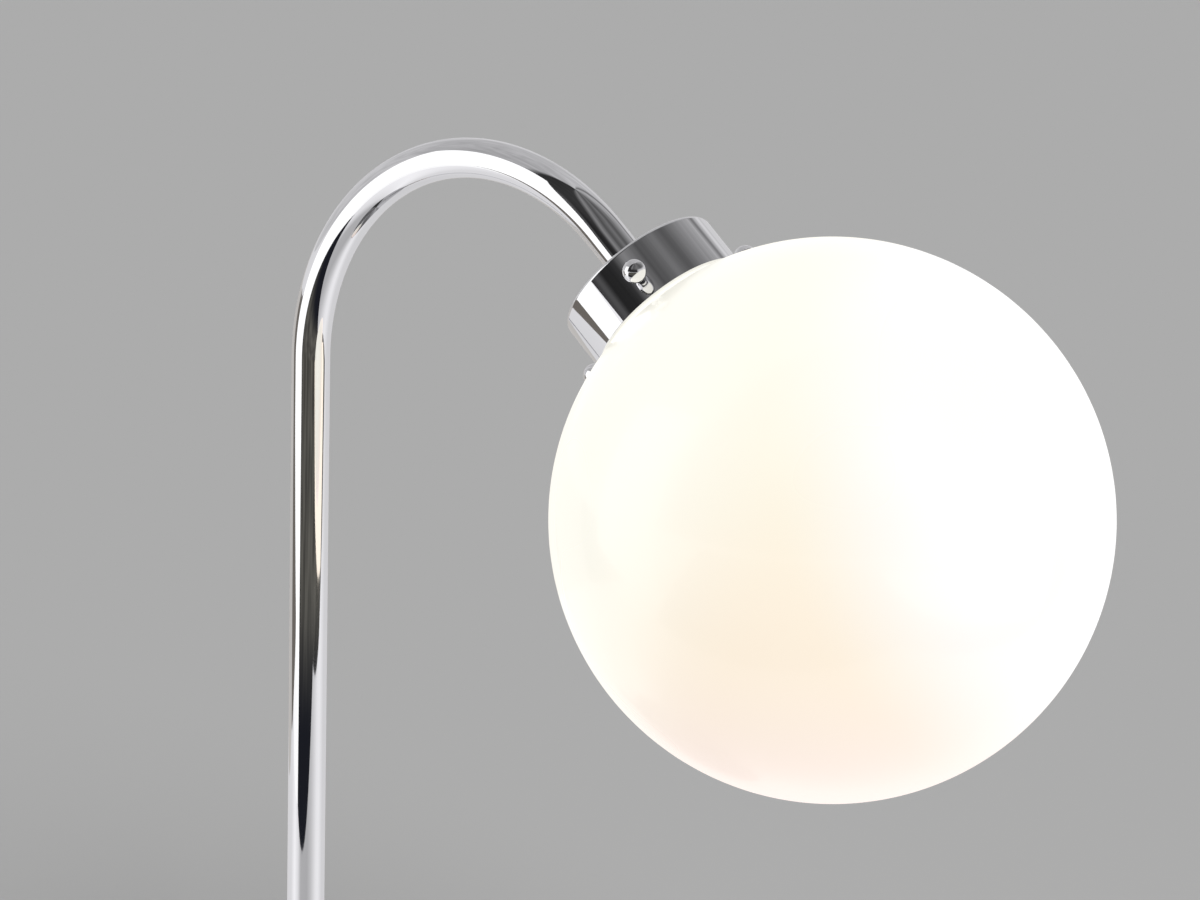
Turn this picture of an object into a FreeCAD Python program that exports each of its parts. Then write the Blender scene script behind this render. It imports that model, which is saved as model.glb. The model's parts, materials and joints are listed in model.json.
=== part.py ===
import FreeCAD, Part
import math
import os
import Sketcher

# A table lamp: a round weighted base, a tube that rises from it and bends over in one arch,
# and an opal glass globe that hangs by its neck in a small metal cup at the tube's end,
# gripped there by three ball-headed screws.
#
# Frame: millimetres, +Z up, origin at the middle of the base's underside, globe towards +X.
# The neck axis is the slanted line through the globe's centre that the arch's end points along.
# Pieces on it are drawn about their own Z, measured from the globe's centre towards the arch.

SIZES = {
    # whole lamp
    "lamp_height": 450.0,
    "stem_offset": 45.0,
    # arch tube
    "tube_dia": 15.0,
    "tube_wall": 1.2,
    "arch_radius": 89.5,
    "arch_turn": 129.6,
    "tube_tail": 19.8,
    # cup that holds the globe; its top is measured from the globe's centre
    "cup_top": 117.7,
    "cup_dia": 63.6,
    "cup_depth": 21.2,
    "cup_wall": 2.0,
    "cup_edge": 1.5,
    # ball-headed screws
    "screw_dia": 4.0,
    "screw_drop": 13.1,
    "screw_reach": 8.8,
    "screw_ball": 8.4,
    "screw_neck_dia": 3.1,
    "screw_neck_length": 1.7,
    "screw_azimuth": -55.0,
    "screw_count": 3.0,
    # opal globe and its lipped neck
    "globe_dia": 200.0,
    "glass_wall": 3.0,
    "neck_dia": 55.2,
    "neck_fillet": 4.0,
    "lip_dia": 58.4,
    "lip_height": 4.0,
    "seat_height": 3.7,
    # hollow threaded nipples, bushes, washers and nuts that clamp both ends of the tube
    "thread_dia": 10.0,
    "thread_bore": 7.0,
    "nut_flats": 14.0,
    "nut_height": 4.0,
    "washer_height": 1.0,
    "cup_washer_dia": 19.0,
    "stem_washer_dia": 24.0,
    "bush_length": 14.0,
    "thread_margin": 2.0,
    # lampholder; its joint, end and insert are measured from the globe's centre
    "holder_dia": 29.0,
    "holder_wall": 1.5,
    "holder_slope": 6.0,
    "holder_lip": 3.5,
    "insert_top": 97.0,
    "wiring_room": 3.5,
    "terminal_place": 8.0,
    "terminal_dia": 3.0,
    "terminal_length": 9.0,
    "terminal_head_dia": 4.4,
    "holder_joint": 88.0,
    "shell_top": 84.0,
    "shell_end": 62.0,
    "shell_sheet": 0.4,
    "shell_hole_dia": 8.0,
    "contact_dia": 5.2,
    "holder_end": 56.0,
    # bulb, its glass ball's centre measured from the globe's centre
    "bulb_dia": 45.0,
    "bulb_centre": 28.0,
    "bulb_neck_dia": 15.6,
    "bulb_neck_top": 59.0,
    "bulb_cap_dia": 13.9,
    "bulb_cap_sheet": 0.5,
    "bulb_insulator_dia": 7.6,
    "bulb_glass": 0.8,
    "bulb_shoulder": 34.0,
    "filament_count": 4.0,
    "filament_dia": 1.8,
    "filament_length": 25.0,
    "filament_circle": 9.6,
    "mount_place": 40.0,
    "mount_dia": 13.0,
    # leads
    "lead_dia": 3.6,
    "wire_dia": 1.8,
    "wire_spread": 7.0,
    "lead_height": 6.0,
    "lead_bend": 5.0,
    # base
    "base_dia": 210.0,
    "base_height": 24.0,
    "base_sheet": 1.2,
    "base_edge": 4.0,
    "cover_lift": 1.5,
    "pad_height": 2.0,
    "pad_dia": 202.0,
    "plate_height": 2.0,
    "plate_dia": 205.0,
    "weight_dia": 196.0,
    "weight_rim": 14.0,
    "wiring_height": 6.5,
    "stem_recess_dia": 30.0,
    "stem_recess": 6.0,
    "collar_dia": 27.0,
    "collar_height": 6.0,
    "inlet_dia": 9.0,
    "inlet_height": 9.5,
    "plate_screw_circle": 182.0,
    "plate_screw_dia": 3.0,
    "plate_screw_head_dia": 5.8,
    "plate_screw_head": 1.1,
    "block_place": 72.0,
    "block_length": 14.0,
    "block_width": 24.0,
    "block_height": 10.5,
    "block_screw_dia": 3.4,
    "block_screw_length": 3.8,
    "earth_place": 27.0,
    "earth_screw_dia": 4.0,
    "earth_screw_head_dia": 7.0,
    "lug_dia": 7.6,
    "lug_height": 0.8,
    # push switch
    "switch_place": 62.0,
    "switch_side": 17.0,
    "switch_neck_dia": 11.8,
    "bezel_dia": 19.0,
    "bezel_height": 4.5,
    "button_dia": 12.4,
    "button_height": 3.8,
    "button_travel": 2.0,
    "plunger_dia": 5.0,
    "spring_wire": 0.4,
    "spring_dia": 3.8,
    "spring_length": 4.0,
    "spring_turns": 4.0,
    # clearances, each on the radius
    "running_gap": 0.05,
    "sliding_gap": 0.1,
}

doc = FreeCAD.newDocument("globe_lamp")
sheet = doc.addObject("Spreadsheet::Sheet", "sizes")
for row, (alias, number) in enumerate(SIZES.items(), start=1):
    sheet.set(f"A{row}", alias)
    sheet.set(f"B{row}", str(number))
    sheet.setAlias(f"B{row}", alias)
doc.recompute()


# ---- sizes that stay live -----------------------------------------------------------------

class Size:
    """A size worked out from the sheet: its number now, and the formula that keeps it live."""

    def __init__(self, number, formula):
        self.number = number
        self.formula = formula

    def joined(self, other, sign, number):
        return Size(number, f"({self.formula} {sign} {other.formula})")

    def __add__(self, other):
        other = as_size(other)
        return self.joined(other, "+", self.number + other.number)

    def __sub__(self, other):
        other = as_size(other)
        return self.joined(other, "-", self.number - other.number)

    def __mul__(self, other):
        other = as_size(other)
        return self.joined(other, "*", self.number * other.number)

    def __truediv__(self, other):
        other = as_size(other)
        return self.joined(other, "/", self.number / other.number)

    def __radd__(self, other):
        return as_size(other) + self

    def __rsub__(self, other):
        return as_size(other) - self

    def __rmul__(self, other):
        return as_size(other) * self

    def __neg__(self):
        return 0 - self


def as_size(value):
    """A Size as it is, or a plain number as one."""
    if isinstance(value, Size):
        return value
    return Size(float(value), f"({float(value)})")


def cell(alias):
    """The sheet's own number under this name."""
    return Size(float(sheet.get(alias)), f"<<sizes>>.{alias}")


def root(value):
    return Size(math.sqrt(value.number), f"sqrt({value.formula})")


def sine(angle):
    return Size(math.sin(math.radians(angle.number)), f"sin({angle.formula} * 1 deg)")


def cosine(angle):
    return Size(math.cos(math.radians(angle.number)), f"cos({angle.formula} * 1 deg)")


# ---- sketches and features ------------------------------------------------------------------

UP = FreeCAD.Vector(0, 0, 1)
ACROSS = FreeCAD.Vector(0, 1, 0)
NODES = {}


def keep(piece):
    """Make a finished piece a node, named by its label."""
    NODES[piece.Label] = piece
    return piece


def new_body(label, placement):
    body = doc.addObject("PartDesign::Body", label)
    body.Label = label
    body.Placement = placement
    return body


def bind(feature, setting, size):
    feature.setExpression(setting, as_size(size).formula)


def new_sketch(body, plane, lift=0):
    """A sketch on one of the body's own origin planes, or lifted off it."""
    sketch = body.newObject("Sketcher::SketchObject", f"{body.Label}_sketch")
    support = next(item for item in body.Origin.OriginFeatures if item.Role == plane)
    sketch.AttachmentSupport = [(support, "")]
    sketch.MapMode = "FlatFace"
    bind(sketch, "AttachmentOffset.Base.z", lift)
    return sketch


def hold(sketch, kind, where, size):
    """Add a dimension and bind it to the sheet."""
    size = as_size(size)
    index = sketch.addConstraint(Sketcher.Constraint(kind, *where, size.number))
    if "sizes" in size.formula:
        bind(sketch, f"Constraints[{index}]", size)


def pin(sketch, item, vertex, x, y):
    """Fix one vertex by its two distances from the sketch's origin."""
    hold(sketch, "DistanceX", (-1, 1, item, vertex), x)
    hold(sketch, "DistanceY", (-1, 1, item, vertex), y)


def arc_between(start, end, radius, turn):
    """The shorter arc from start to end; turn is +1 anticlockwise, -1 clockwise."""
    chord = end - start
    rise = math.sqrt(radius ** 2 - (chord.Length / 2) ** 2)
    side = FreeCAD.Vector(-chord.y, chord.x, 0).normalize() * (turn * rise)
    centre = (start + end) / 2 + side
    first, last = (start, end) if turn > 0 else (end, start)
    angles = [math.atan2(point.y - centre.y, point.x - centre.x) for point in (first, last)]
    return Part.ArcOfCircle(Part.Circle(centre, UP, radius), *angles)


def draw(sketch, outline, closed=True):
    """Join the outline's points: (x, y) is reached by a line, (x, y, radius, turn) by an arc."""
    points = [FreeCAD.Vector(as_size(p[0]).number, as_size(p[1]).number, 0) for p in outline]
    count = len(outline)
    spans = count if closed else count - 1
    items = []
    for i in range(spans):
        j = (i + 1) % count
        if len(outline[j]) == 2:
            item = sketch.addGeometry(Part.LineSegment(points[i], points[j]), False)
            items.append((item, 1, 2))
        else:
            radius, turn = as_size(outline[j][2]), outline[j][3]
            arc = arc_between(points[i], points[j], radius.number, turn)
            item = sketch.addGeometry(arc, False)
            items.append((item, 1, 2) if turn > 0 else (item, 2, 1))
            hold(sketch, "Radius", (item,), radius)
    for i, (item, first, last) in enumerate(items):
        pin(sketch, item, first, *outline[i][:2])
        if closed or i + 1 < spans:
            following, start, _ = items[(i + 1) % spans]
            sketch.addConstraint(Sketcher.Constraint("Coincident", item, last, following, start))
        else:
            pin(sketch, item, last, *outline[-1][:2])


def circle(sketch, x, y, diameter):
    place = FreeCAD.Vector(as_size(x).number, as_size(y).number, 0)
    radius = as_size(diameter) / 2
    item = sketch.addGeometry(Part.Circle(place, UP, radius.number), False)
    pin(sketch, item, 3, x, y)
    hold(sketch, "Radius", (item,), radius)


def rectangle(sketch, x0, y0, x1, y1):
    draw(sketch, [(x0, y0), (x1, y0), (x1, y1), (x0, y1)])


def revolve(label, outline, placement):
    """A body turned about its own Z from an outline of (radius, height) points."""
    body = new_body(label, placement)
    sketch = new_sketch(body, "XZ_Plane")
    draw(sketch, outline)
    turned = body.newObject("PartDesign::Revolution", f"{label}_turned")
    turned.Profile = sketch
    turned.ReferenceAxis = (sketch, ["V_Axis"])
    turned.Angle = 360
    return body


def ring(label, inner, outer, low, high, placement):
    """A plain ring, tube or disc between two diameters and two heights."""
    outline = [(inner / 2, low), (outer / 2, low), (outer / 2, high), (inner / 2, high)]
    return revolve(label, outline, placement)


def hexagon_nut(label, flats, hole, height, placement):
    body = new_body(label, placement)
    sketch = new_sketch(body, "XY_Plane")
    corner = flats / math.sqrt(3)
    angles = [60 * side for side in range(6)]
    draw(sketch, [(corner * math.cos(math.radians(a)), corner * math.sin(math.radians(a)))
                  for a in angles])
    circle(sketch, 0, 0, hole)
    pad(body, sketch, height)
    return body


def pad(body, sketch, length):
    feature = body.newObject("PartDesign::Pad", f"{body.Label}_pad")
    feature.Profile = sketch
    bind(feature, "Length", length)
    return feature


def cut(body, plane, length, shapes, reverse=True, lift=0):
    """Pocket the body from one of its own planes, through circles and rectangles."""
    sketch = new_sketch(body, plane, lift)
    for shape, *place in shapes:
        shape(sketch, *place)
    doc.recompute()
    volume = body.Shape.Volume
    pocket = body.newObject("PartDesign::Pocket", f"{body.Label}_pocket")
    pocket.Profile = sketch
    pocket.Reversed = reverse
    bind(pocket, "Length", length)
    doc.recompute()
    if body.Shape.Volume > volume - 0.01:
        raise RuntimeError(f"{body.Label}: a pocket cuts nothing")
    return sketch, pocket


def pipe(label, route, section_plane, outer, inner, placement):
    """A round tube or bar along a route of lines and arcs in the body's XZ plane."""
    body = new_body(label, placement)
    spine = new_sketch(body, "XZ_Plane")
    draw(spine, route, closed=False)
    section = new_sketch(body, section_plane)
    circle(section, 0, 0, outer)
    if inner is not None:
        circle(section, 0, 0, inner)
    swept = body.newObject("PartDesign::AdditivePipe", f"{label}_swept")
    swept.Profile = section
    swept.Spine = (spine, [])
    return body


def group(label, parts):
    """Identical pieces that stay separate solids under one name."""
    compound = doc.addObject("Part::Compound", label)
    compound.Label = label
    compound.Links = parts
    return compound


def rod(name, diameter, length, placement):
    """A plain round bar along its own Z."""
    bar = doc.addObject("Part::Cylinder", name)
    bind(bar, "Radius", as_size(diameter) / 2)
    bind(bar, "Height", length)
    bar.Placement = placement
    return bar


# ---- where things are -------------------------------------------------------------------------

def at(x, y, z, rotation=FreeCAD.Rotation()):
    numbers = [as_size(value).number for value in (x, y, z)]
    return FreeCAD.Placement(FreeCAD.Vector(*numbers), rotation)


turn = cell("arch_turn")
arch_radius = cell("arch_radius")
base_top = cell("base_height")
stem_x = -cell("stem_offset")
arch_foot = cell("lamp_height") - cell("tube_dia") / 2 - arch_radius
arch_end_x = arch_radius * (1 - cosine(turn))
arch_end_z = arch_foot + arch_radius * sine(turn)
neck_reach = cell("tube_tail") + cell("cup_top")
globe_x = stem_x + arch_end_x + neck_reach * sine(turn)
globe_z = arch_end_z + neck_reach * cosine(turn)

ON_BASE = at(0, 0, 0)
ON_STEM = at(stem_x, 0, 0)
ON_NECK = at(globe_x, 0, globe_z, FreeCAD.Rotation(ACROSS, turn.number - 180))

thread = cell("thread_dia")
thread_hole = thread + 2 * cell("running_gap")
tube_bore = cell("tube_dia") - 2 * cell("tube_wall")
bush_dia = tube_bore - 2 * cell("running_gap")


# ---- the arch tube ------------------------------------------------------------------------------

tail_x = cell("tube_tail") * sine(turn)
tail_z = cell("tube_tail") * cosine(turn)
keep(pipe("arch_tube", [
    (0, 0),
    (0, arch_foot - base_top),
    (arch_end_x, arch_end_z - base_top, arch_radius, -1),
    (arch_end_x + tail_x, arch_end_z - base_top + tail_z),
], "XY_Plane", cell("tube_dia"), tube_bore, at(stem_x, 0, base_top)))

# ---- the cup and what clamps it to the tube -----------------------------------------------------

cup_top = cell("cup_top")
cup_floor = cup_top - cell("cup_wall")
cup_mouth = cup_top - cell("cup_depth")
cup_outer = cell("cup_dia") / 2
cup_inner = cup_outer - cell("cup_wall")
cup_edge = cell("cup_edge")
screw_plane = cup_top - cell("screw_drop")
first_screw = FreeCAD.Rotation(UP, cell("screw_azimuth").number)

cup = keep(revolve("globe_cup", [
    (thread_hole / 2, cup_floor),
    (cup_inner, cup_floor),
    (cup_inner, cup_mouth),
    (cup_outer, cup_mouth),
    (cup_outer, cup_top - cup_edge),
    (cup_outer - cup_edge, cup_top, cup_edge, 1),
    (thread_hole / 2, cup_top),
], ON_NECK * at(0, 0, 0, first_screw)))
screw_hole_dia = cell("screw_dia") + 2 * cell("running_gap")
hole_sketch, hole = cut(cup, "YZ_Plane", cup_outer + 1,
                        [(circle, 0, screw_plane, screw_hole_dia)])
holes = cup.newObject("PartDesign::PolarPattern", "screw_holes")
holes.Originals = [hole]
holes.Axis = (hole_sketch, ["V_Axis"])
holes.Angle = 360
bind(holes, "Occurrences", cell("screw_count"))
cup.Tip = holes

bush_end = cup_top + cell("bush_length")
keep(ring("tube_end_bush", thread_hole, bush_dia, cup_top, bush_end, ON_NECK))

washer_top = cup_floor
nut_top = washer_top - cell("washer_height")
nut_bottom = nut_top - cell("nut_height")
holder_top = nut_bottom
margin = cell("thread_margin")
hub_bottom = cell("insert_top") + cell("wiring_room")
nipple_end = hub_bottom + cell("running_gap")
keep(ring("cup_nipple", cell("thread_bore"), thread, nipple_end, bush_end - margin, ON_NECK))
keep(ring("cup_washer", thread_hole, cell("cup_washer_dia"), nut_top, washer_top, ON_NECK))
keep(hexagon_nut("cup_nut", cell("nut_flats"), thread_hole, cell("nut_height"),
                 ON_NECK * at(0, 0, nut_bottom)))

# ---- three ball-headed screws ---------------------------------------------------------------------

neck_outer = cell("neck_dia") / 2
ball = cell("screw_ball") / 2
shank = cell("screw_dia") / 2
screw_neck = cell("screw_neck_dia") / 2
ball_centre = cup_outer + cell("screw_reach")
tip = neck_outer + 2 * cell("sliding_gap")
point = 0.8
neck_top = ball_centre - root(ball * ball - screw_neck * screw_neck)
neck_foot = neck_top - cell("screw_neck_length")
for number in range(int(cell("screw_count").number)):
    azimuth = cell("screw_azimuth").number + 360 * number / cell("screw_count").number
    outward = FreeCAD.Rotation(UP, azimuth) * FreeCAD.Rotation(ACROSS, 90)
    keep(revolve(f"ball_screw_{number + 1}", [
        (0, tip),
        (shank - point, tip),
        (shank, tip + point),
        (shank, neck_foot),
        (screw_neck, neck_foot),
        (screw_neck, neck_top),
        (0, ball_centre + ball, ball, 1),
    ], ON_NECK * at(0, 0, screw_plane, outward)))

# ---- the opal globe and the ring it seats on ----------------------------------------------------------

globe = cell("globe_dia") / 2
wall = cell("glass_wall")
fillet = cell("neck_fillet")
fillet_x = neck_outer + fillet
fillet_z = root((globe + fillet) * (globe + fillet) - fillet_x * fillet_x)
shrink = globe / (globe + fillet)
neck_inner = neck_outer - wall
lip = cell("lip_dia") / 2
lip_top = cup_floor - cell("seat_height")
lip_bottom = lip_top - cell("lip_height")
inside = globe - wall
keep(revolve("glass_globe", [
    (0, -globe),
    (fillet_x * shrink, fillet_z * shrink, globe, 1),
    (neck_outer, fillet_z, fillet, -1),
    (neck_outer, lip_bottom),
    (lip, lip_bottom),
    (lip, lip_top),
    (neck_inner, lip_top),
    (neck_inner, root(inside * inside - neck_inner * neck_inner)),
    (0, -inside, inside, -1),
], ON_NECK))
keep(ring("globe_seat_ring", 2 * neck_inner + 0.4, 2 * lip - 0.4, lip_top, cup_floor, ON_NECK))

# ---- the lampholder ------------------------------------------------------------------------------------

holder = cell("holder_dia") / 2
holder_wall = cell("holder_wall")
insert_top = cell("insert_top")
joint = cell("holder_joint")
shell_top = cell("shell_top")
insert = holder - holder_wall - cell("running_gap")
cap_edge = 2
keep(revolve("holder_cap", [
    (thread_hole / 2, hub_bottom),
    (holder - holder_wall, hub_bottom),
    (holder - holder_wall, joint),
    (holder, joint),
    (holder, hub_bottom + cap_edge),
    (holder - cell("holder_slope"), holder_top),
    (thread_hole / 2, holder_top),
], ON_NECK))

terminal_place = cell("terminal_place")
terminal = cell("terminal_dia") / 2
terminal_head = cell("terminal_head_dia") / 2
terminal_hole = cell("terminal_dia") + 2 * cell("running_gap")
head = 2
insert_body = keep(ring("holder_insert", as_size(0), 2 * insert, shell_top, insert_top, ON_NECK))
cut(insert_body, "XY_Plane", insert_top + 1,
    [(circle, side * terminal_place, 0, terminal_hole) for side in (-1, 1)])
keep(group("holder_terminals", [
    revolve(f"holder_terminal_{name}", [
        (0, -cell("terminal_length")),
        (terminal, -cell("terminal_length")),
        (terminal, 0),
        (terminal_head, 0),
        (terminal_head, head),
        (0, head),
    ], ON_NECK * at(side * terminal_place, 0, insert_top))
    for name, side in (("live", -1), ("neutral", 1))]))

shell_inner = cell("bulb_cap_dia") / 2 + cell("sliding_gap")
shell_sheet = cell("shell_sheet")
shell_hole = cell("shell_hole_dia") / 2
keep(revolve("holder_screw_shell", [
    (shell_inner, cell("shell_end")),
    (shell_inner + shell_sheet, cell("shell_end")),
    (shell_inner + shell_sheet, shell_top),
    (shell_hole, shell_top),
    (shell_hole, shell_top - shell_sheet),
    (shell_inner, shell_top - shell_sheet),
], ON_NECK))
bulb_tip = shell_top - 2
contact = cell("contact_dia") / 2
contact_nose = contact - 1
keep(revolve("holder_centre_contact", [
    (0, bulb_tip + cell("sliding_gap")),
    (contact_nose, bulb_tip + 0.5),
    (contact, shell_top - 0.6),
    (contact, shell_top),
    (0, shell_top),
], ON_NECK))
holder_end = cell("holder_end")
holder_mouth = holder - cell("holder_lip")
chamfer = 1
keep(revolve("holder_sleeve", [
    (holder_mouth, holder_end),
    (holder - chamfer, holder_end),
    (holder, holder_end + chamfer),
    (holder, joint),
    (holder - holder_wall, joint),
    (holder - holder_wall, holder_end + 2 * chamfer),
    (holder_mouth, holder_end + 2 * chamfer),
], ON_NECK))

# ---- the bulb: a small ball bulb that screws out along the neck axis -----------------------------------

bulb = cell("bulb_dia") / 2
bulb_centre = cell("bulb_centre")
glass = cell("bulb_glass")
neck_top = cell("bulb_neck_top")
bulb_neck = cell("bulb_neck_dia") / 2
shoulder = cell("bulb_shoulder")
neck_straight = 2.5
keep(revolve("bulb_globe", [
    (0, bulb_centre - bulb),
    (bulb * cosine(shoulder), bulb_centre + bulb * sine(shoulder), bulb, 1),
    (bulb_neck, neck_top - neck_straight),
    (bulb_neck, neck_top),
    (bulb_neck - glass, neck_top),
    (bulb_neck - glass, neck_top - neck_straight),
    ((bulb - glass) * cosine(shoulder), bulb_centre + (bulb - glass) * sine(shoulder)),
    (0, bulb_centre - bulb + glass, bulb - glass, -1),
], ON_NECK))
cap = cell("bulb_cap_dia") / 2
cap_sheet = cell("bulb_cap_sheet")
skirt = bulb_neck + cap_sheet
insulator_bottom = bulb_tip - 3.9
insulator = cell("bulb_insulator_dia") / 2
solder = insulator - 1.5
keep(revolve("bulb_cap", [
    (skirt, neck_top - 2),
    (skirt, neck_top + 1),
    (cap, neck_top + 2),
    (cap, insulator_bottom),
    (insulator + 0.7, insulator_bottom + 2.4),
    (insulator + 0.1, insulator_bottom + 2.0),
    (cap - cap_sheet, insulator_bottom - 0.2),
    (cap - cap_sheet, neck_top + 1.4),
    (bulb_neck, neck_top + 0.6),
    (bulb_neck, neck_top - 2),
], ON_NECK))
keep(revolve("bulb_insulator", [
    (0, insulator_bottom),
    (insulator, insulator_bottom),
    (insulator, insulator_bottom + 2),
    (solder + 0.3, insulator_bottom + 3),
    (0, insulator_bottom + 3),
], ON_NECK))
keep(revolve("bulb_tip_contact", [
    (0, insulator_bottom + 3),
    (solder, insulator_bottom + 3),
    (solder - 0.4, insulator_bottom + 3.6),
    (0, bulb_tip),
], ON_NECK))
mount = cell("mount_place")
mount_edge = cell("mount_dia") / 2
stalk = 2
keep(revolve("bulb_stem", [
    (0, mount),
    (mount_edge, mount),
    (mount_edge, mount + 2),
    (stalk, mount + 3),
    (stalk, neck_top - 3),
    (bulb_neck - glass, neck_top - 1),
    (bulb_neck - glass, neck_top),
    (0, neck_top),
], ON_NECK))
filament_length = cell("filament_length")
keep(group("bulb_filaments", [
    rod(f"filament_{number + 1}", cell("filament_dia"), filament_length,
        ON_NECK * at(0, 0, 0, FreeCAD.Rotation(UP, 90 * number))
        * at(cell("filament_circle") / 2, 0, mount - filament_length))
    for number in range(int(cell("filament_count").number))]))

# ---- the base: cover, weight, bottom plate and pad -----------------------------------------------------

base = cell("base_dia") / 2
sheet_metal = cell("base_sheet")
edge = cell("base_edge")
cover_foot = cell("cover_lift")
switch_x = cell("switch_place")
switch_neck = cell("switch_neck_dia")
cover = keep(revolve("base_cover", [
    (base - sheet_metal, cover_foot),
    (base, cover_foot),
    (base, base_top - edge),
    (base - edge, base_top, edge, 1),
    (0, base_top),
    (0, base_top - sheet_metal),
    (base - edge, base_top - sheet_metal),
    (base - sheet_metal, base_top - edge, edge - sheet_metal, -1),
], ON_BASE))
cut(cover, "XY_Plane", base_top + 1, [
    (circle, stem_x, 0, thread_hole),
    (circle, switch_x, 0, switch_neck + 2 * cell("sliding_gap")),
])
cut(cover, "YZ_Plane", base + 1, [(circle, 0, cell("inlet_height"), cell("inlet_dia"))], False)

pad_top = cell("pad_height")
plate_top = pad_top + cell("plate_height")
weight_bottom = plate_top + cell("wiring_height")
weight_top = base_top - sheet_metal
weight_edge = cell("weight_dia") / 2
screw_corner = cell("plate_screw_circle") / 2 / math.sqrt(2)
corners = [(x * screw_corner, y * screw_corner) for x in (-1, 1) for y in (-1, 1)]
block_x = -cell("block_place")
block_half = cell("block_length") / 2
block_side = cell("block_width") / 2
block_bottom = plate_top + 0.2
block_top = block_bottom + cell("block_height")
earth_y = cell("earth_place")
recess_top = weight_bottom + cell("stem_recess")
casting_gap = 2

weight = keep(revolve("base_weight", [
    (0, weight_bottom),
    (weight_edge - cell("weight_rim"), weight_bottom),
    (weight_edge - cell("weight_rim"), plate_top),
    (weight_edge, plate_top),
    (weight_edge, weight_top),
    (0, weight_top),
], ON_BASE))
plate_screw = cell("plate_screw_dia")
screw_end = weight_bottom + 2
tapped = plate_screw + 2 * cell("running_gap")
cut(weight, "XY_Plane", screw_end + 0.5, [(circle, x, y, tapped) for x, y in corners])
cut(weight, "XY_Plane", base_top, [
    (circle, stem_x, 0, thread_hole),
    (circle, switch_x, 0, cell("switch_side") * math.sqrt(2) + 1),
])
cut(weight, "XY_Plane", recess_top, [(circle, stem_x, 0, cell("stem_recess_dia"))])
block_room = (block_half + casting_gap, block_side + casting_gap)
cut(weight, "XY_Plane", block_top, [
    (rectangle, block_x - block_room[0], -block_room[1], block_x + block_room[0], block_room[1]),
])
inlet_room = 5
cut(weight, "XY_Plane", cell("inlet_height") + inlet_room, [
    (rectangle, -weight_edge - 1, -inlet_room, block_x - block_half - 1, inlet_room),
])
earth_screw_dia = cell("earth_screw_dia")
earth_hole = earth_screw_dia + 2 * cell("running_gap")
cut(weight, "XY_Plane", weight_bottom + 7, [(circle, block_x, earth_y, earth_hole)])

plate = keep(ring("base_plate", as_size(0), cell("plate_dia"), pad_top, plate_top, ON_BASE))
clear_hole = plate_screw + 2 * cell("sliding_gap")
cut(plate, "XY_Plane", plate_top + 1, [(circle, x, y, clear_hole) for x, y in corners])
head_bottom = pad_top + cell("sliding_gap")
head_top = head_bottom + cell("plate_screw_head")
head_dia = cell("plate_screw_head_dia")
counterbore = head_dia + 2 * cell("sliding_gap")
cut(plate, "XY_Plane", head_top, [(circle, x, y, counterbore) for x, y in corners])
keep(group("base_plate_screws", [
    revolve(f"plate_screw_{number + 1}", [
        (0, head_bottom),
        (head_dia / 2, head_bottom),
        (head_dia / 2, head_top),
        (plate_screw / 2, head_top),
        (plate_screw / 2, screw_end),
        (0, screw_end),
    ], at(x, y, 0))
    for number, (x, y) in enumerate(corners)]))
keep(ring("base_pad", as_size(0), cell("pad_dia"), as_size(0), pad_top, ON_BASE))

# ---- the stem's foot: collar, bush, nipple, washer and nut ----------------------------------------------

collar = cell("collar_dia") / 2
collar_hole = cell("tube_dia") / 2 + cell("running_gap")
collar_top = base_top + cell("collar_height")
collar_round = 4
keep(revolve("stem_collar", [
    (collar_hole, base_top),
    (collar, base_top),
    (collar, collar_top - collar_round),
    (collar - collar_round, collar_top, collar_round, 1),
    (collar_hole, collar_top),
], ON_STEM))
bush_top = base_top + cell("bush_length")
keep(ring("stem_bush", thread_hole, bush_dia, base_top, bush_top, ON_STEM))
stem_nut_top = recess_top - cell("washer_height")
stem_nut_bottom = stem_nut_top - cell("nut_height")
keep(ring("stem_nipple", cell("thread_bore"), thread, stem_nut_bottom - margin / 2,
          bush_top - margin, ON_STEM))
keep(ring("stem_washer", thread_hole, cell("stem_washer_dia"), stem_nut_top, recess_top, ON_STEM))
keep(hexagon_nut("stem_nut", cell("nut_flats"), thread_hole, cell("nut_height"),
                 ON_STEM * at(0, 0, stem_nut_bottom)))

# ---- the cable inlet, the terminal block and the earth screw ---------------------------------------------

inlet = cell("inlet_dia") / 2
inlet_bore = inlet - 1.25
inlet_neck = inlet - cell("running_gap")
flange = inlet + 1
flange_height = 2
inside_face = -sheet_metal - 2 * cell("sliding_gap")
keep(revolve("cable_inlet_bush", [
    (inlet_bore, inside_face - flange_height),
    (flange, inside_face - flange_height),
    (flange, inside_face),
    (inlet_neck, inside_face),
    (inlet_neck, 0),
    (flange, 0),
    (flange - 0.4, flange_height),
    (inlet_bore, flange_height),
], at(-base, 0, cell("inlet_height"), FreeCAD.Rotation(ACROSS, -90))))

block = keep(new_body("terminal_block", at(block_x, 0, block_bottom)))
block_sketch = new_sketch(block, "XY_Plane")
rectangle(block_sketch, -block_half, -block_side, block_half, block_side)
pad(block, block_sketch, cell("block_height"))
poles = [-cell("wire_spread"), as_size(0), cell("wire_spread")]
pole_x = 2
block_screw = cell("block_screw_dia")
block_hole = block_screw + 2 * cell("sliding_gap")
cut(block, "XY_Plane", 5, [(circle, pole_x, pole, block_hole) for pole in poles])
keep(group("terminal_screws", [
    rod(f"terminal_screw_{number + 1}", block_screw, cell("block_screw_length"),
        at(block_x + pole_x, pole, block_bottom + 5 - cell("block_screw_length")))
    for number, pole in enumerate(poles)]))

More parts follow.
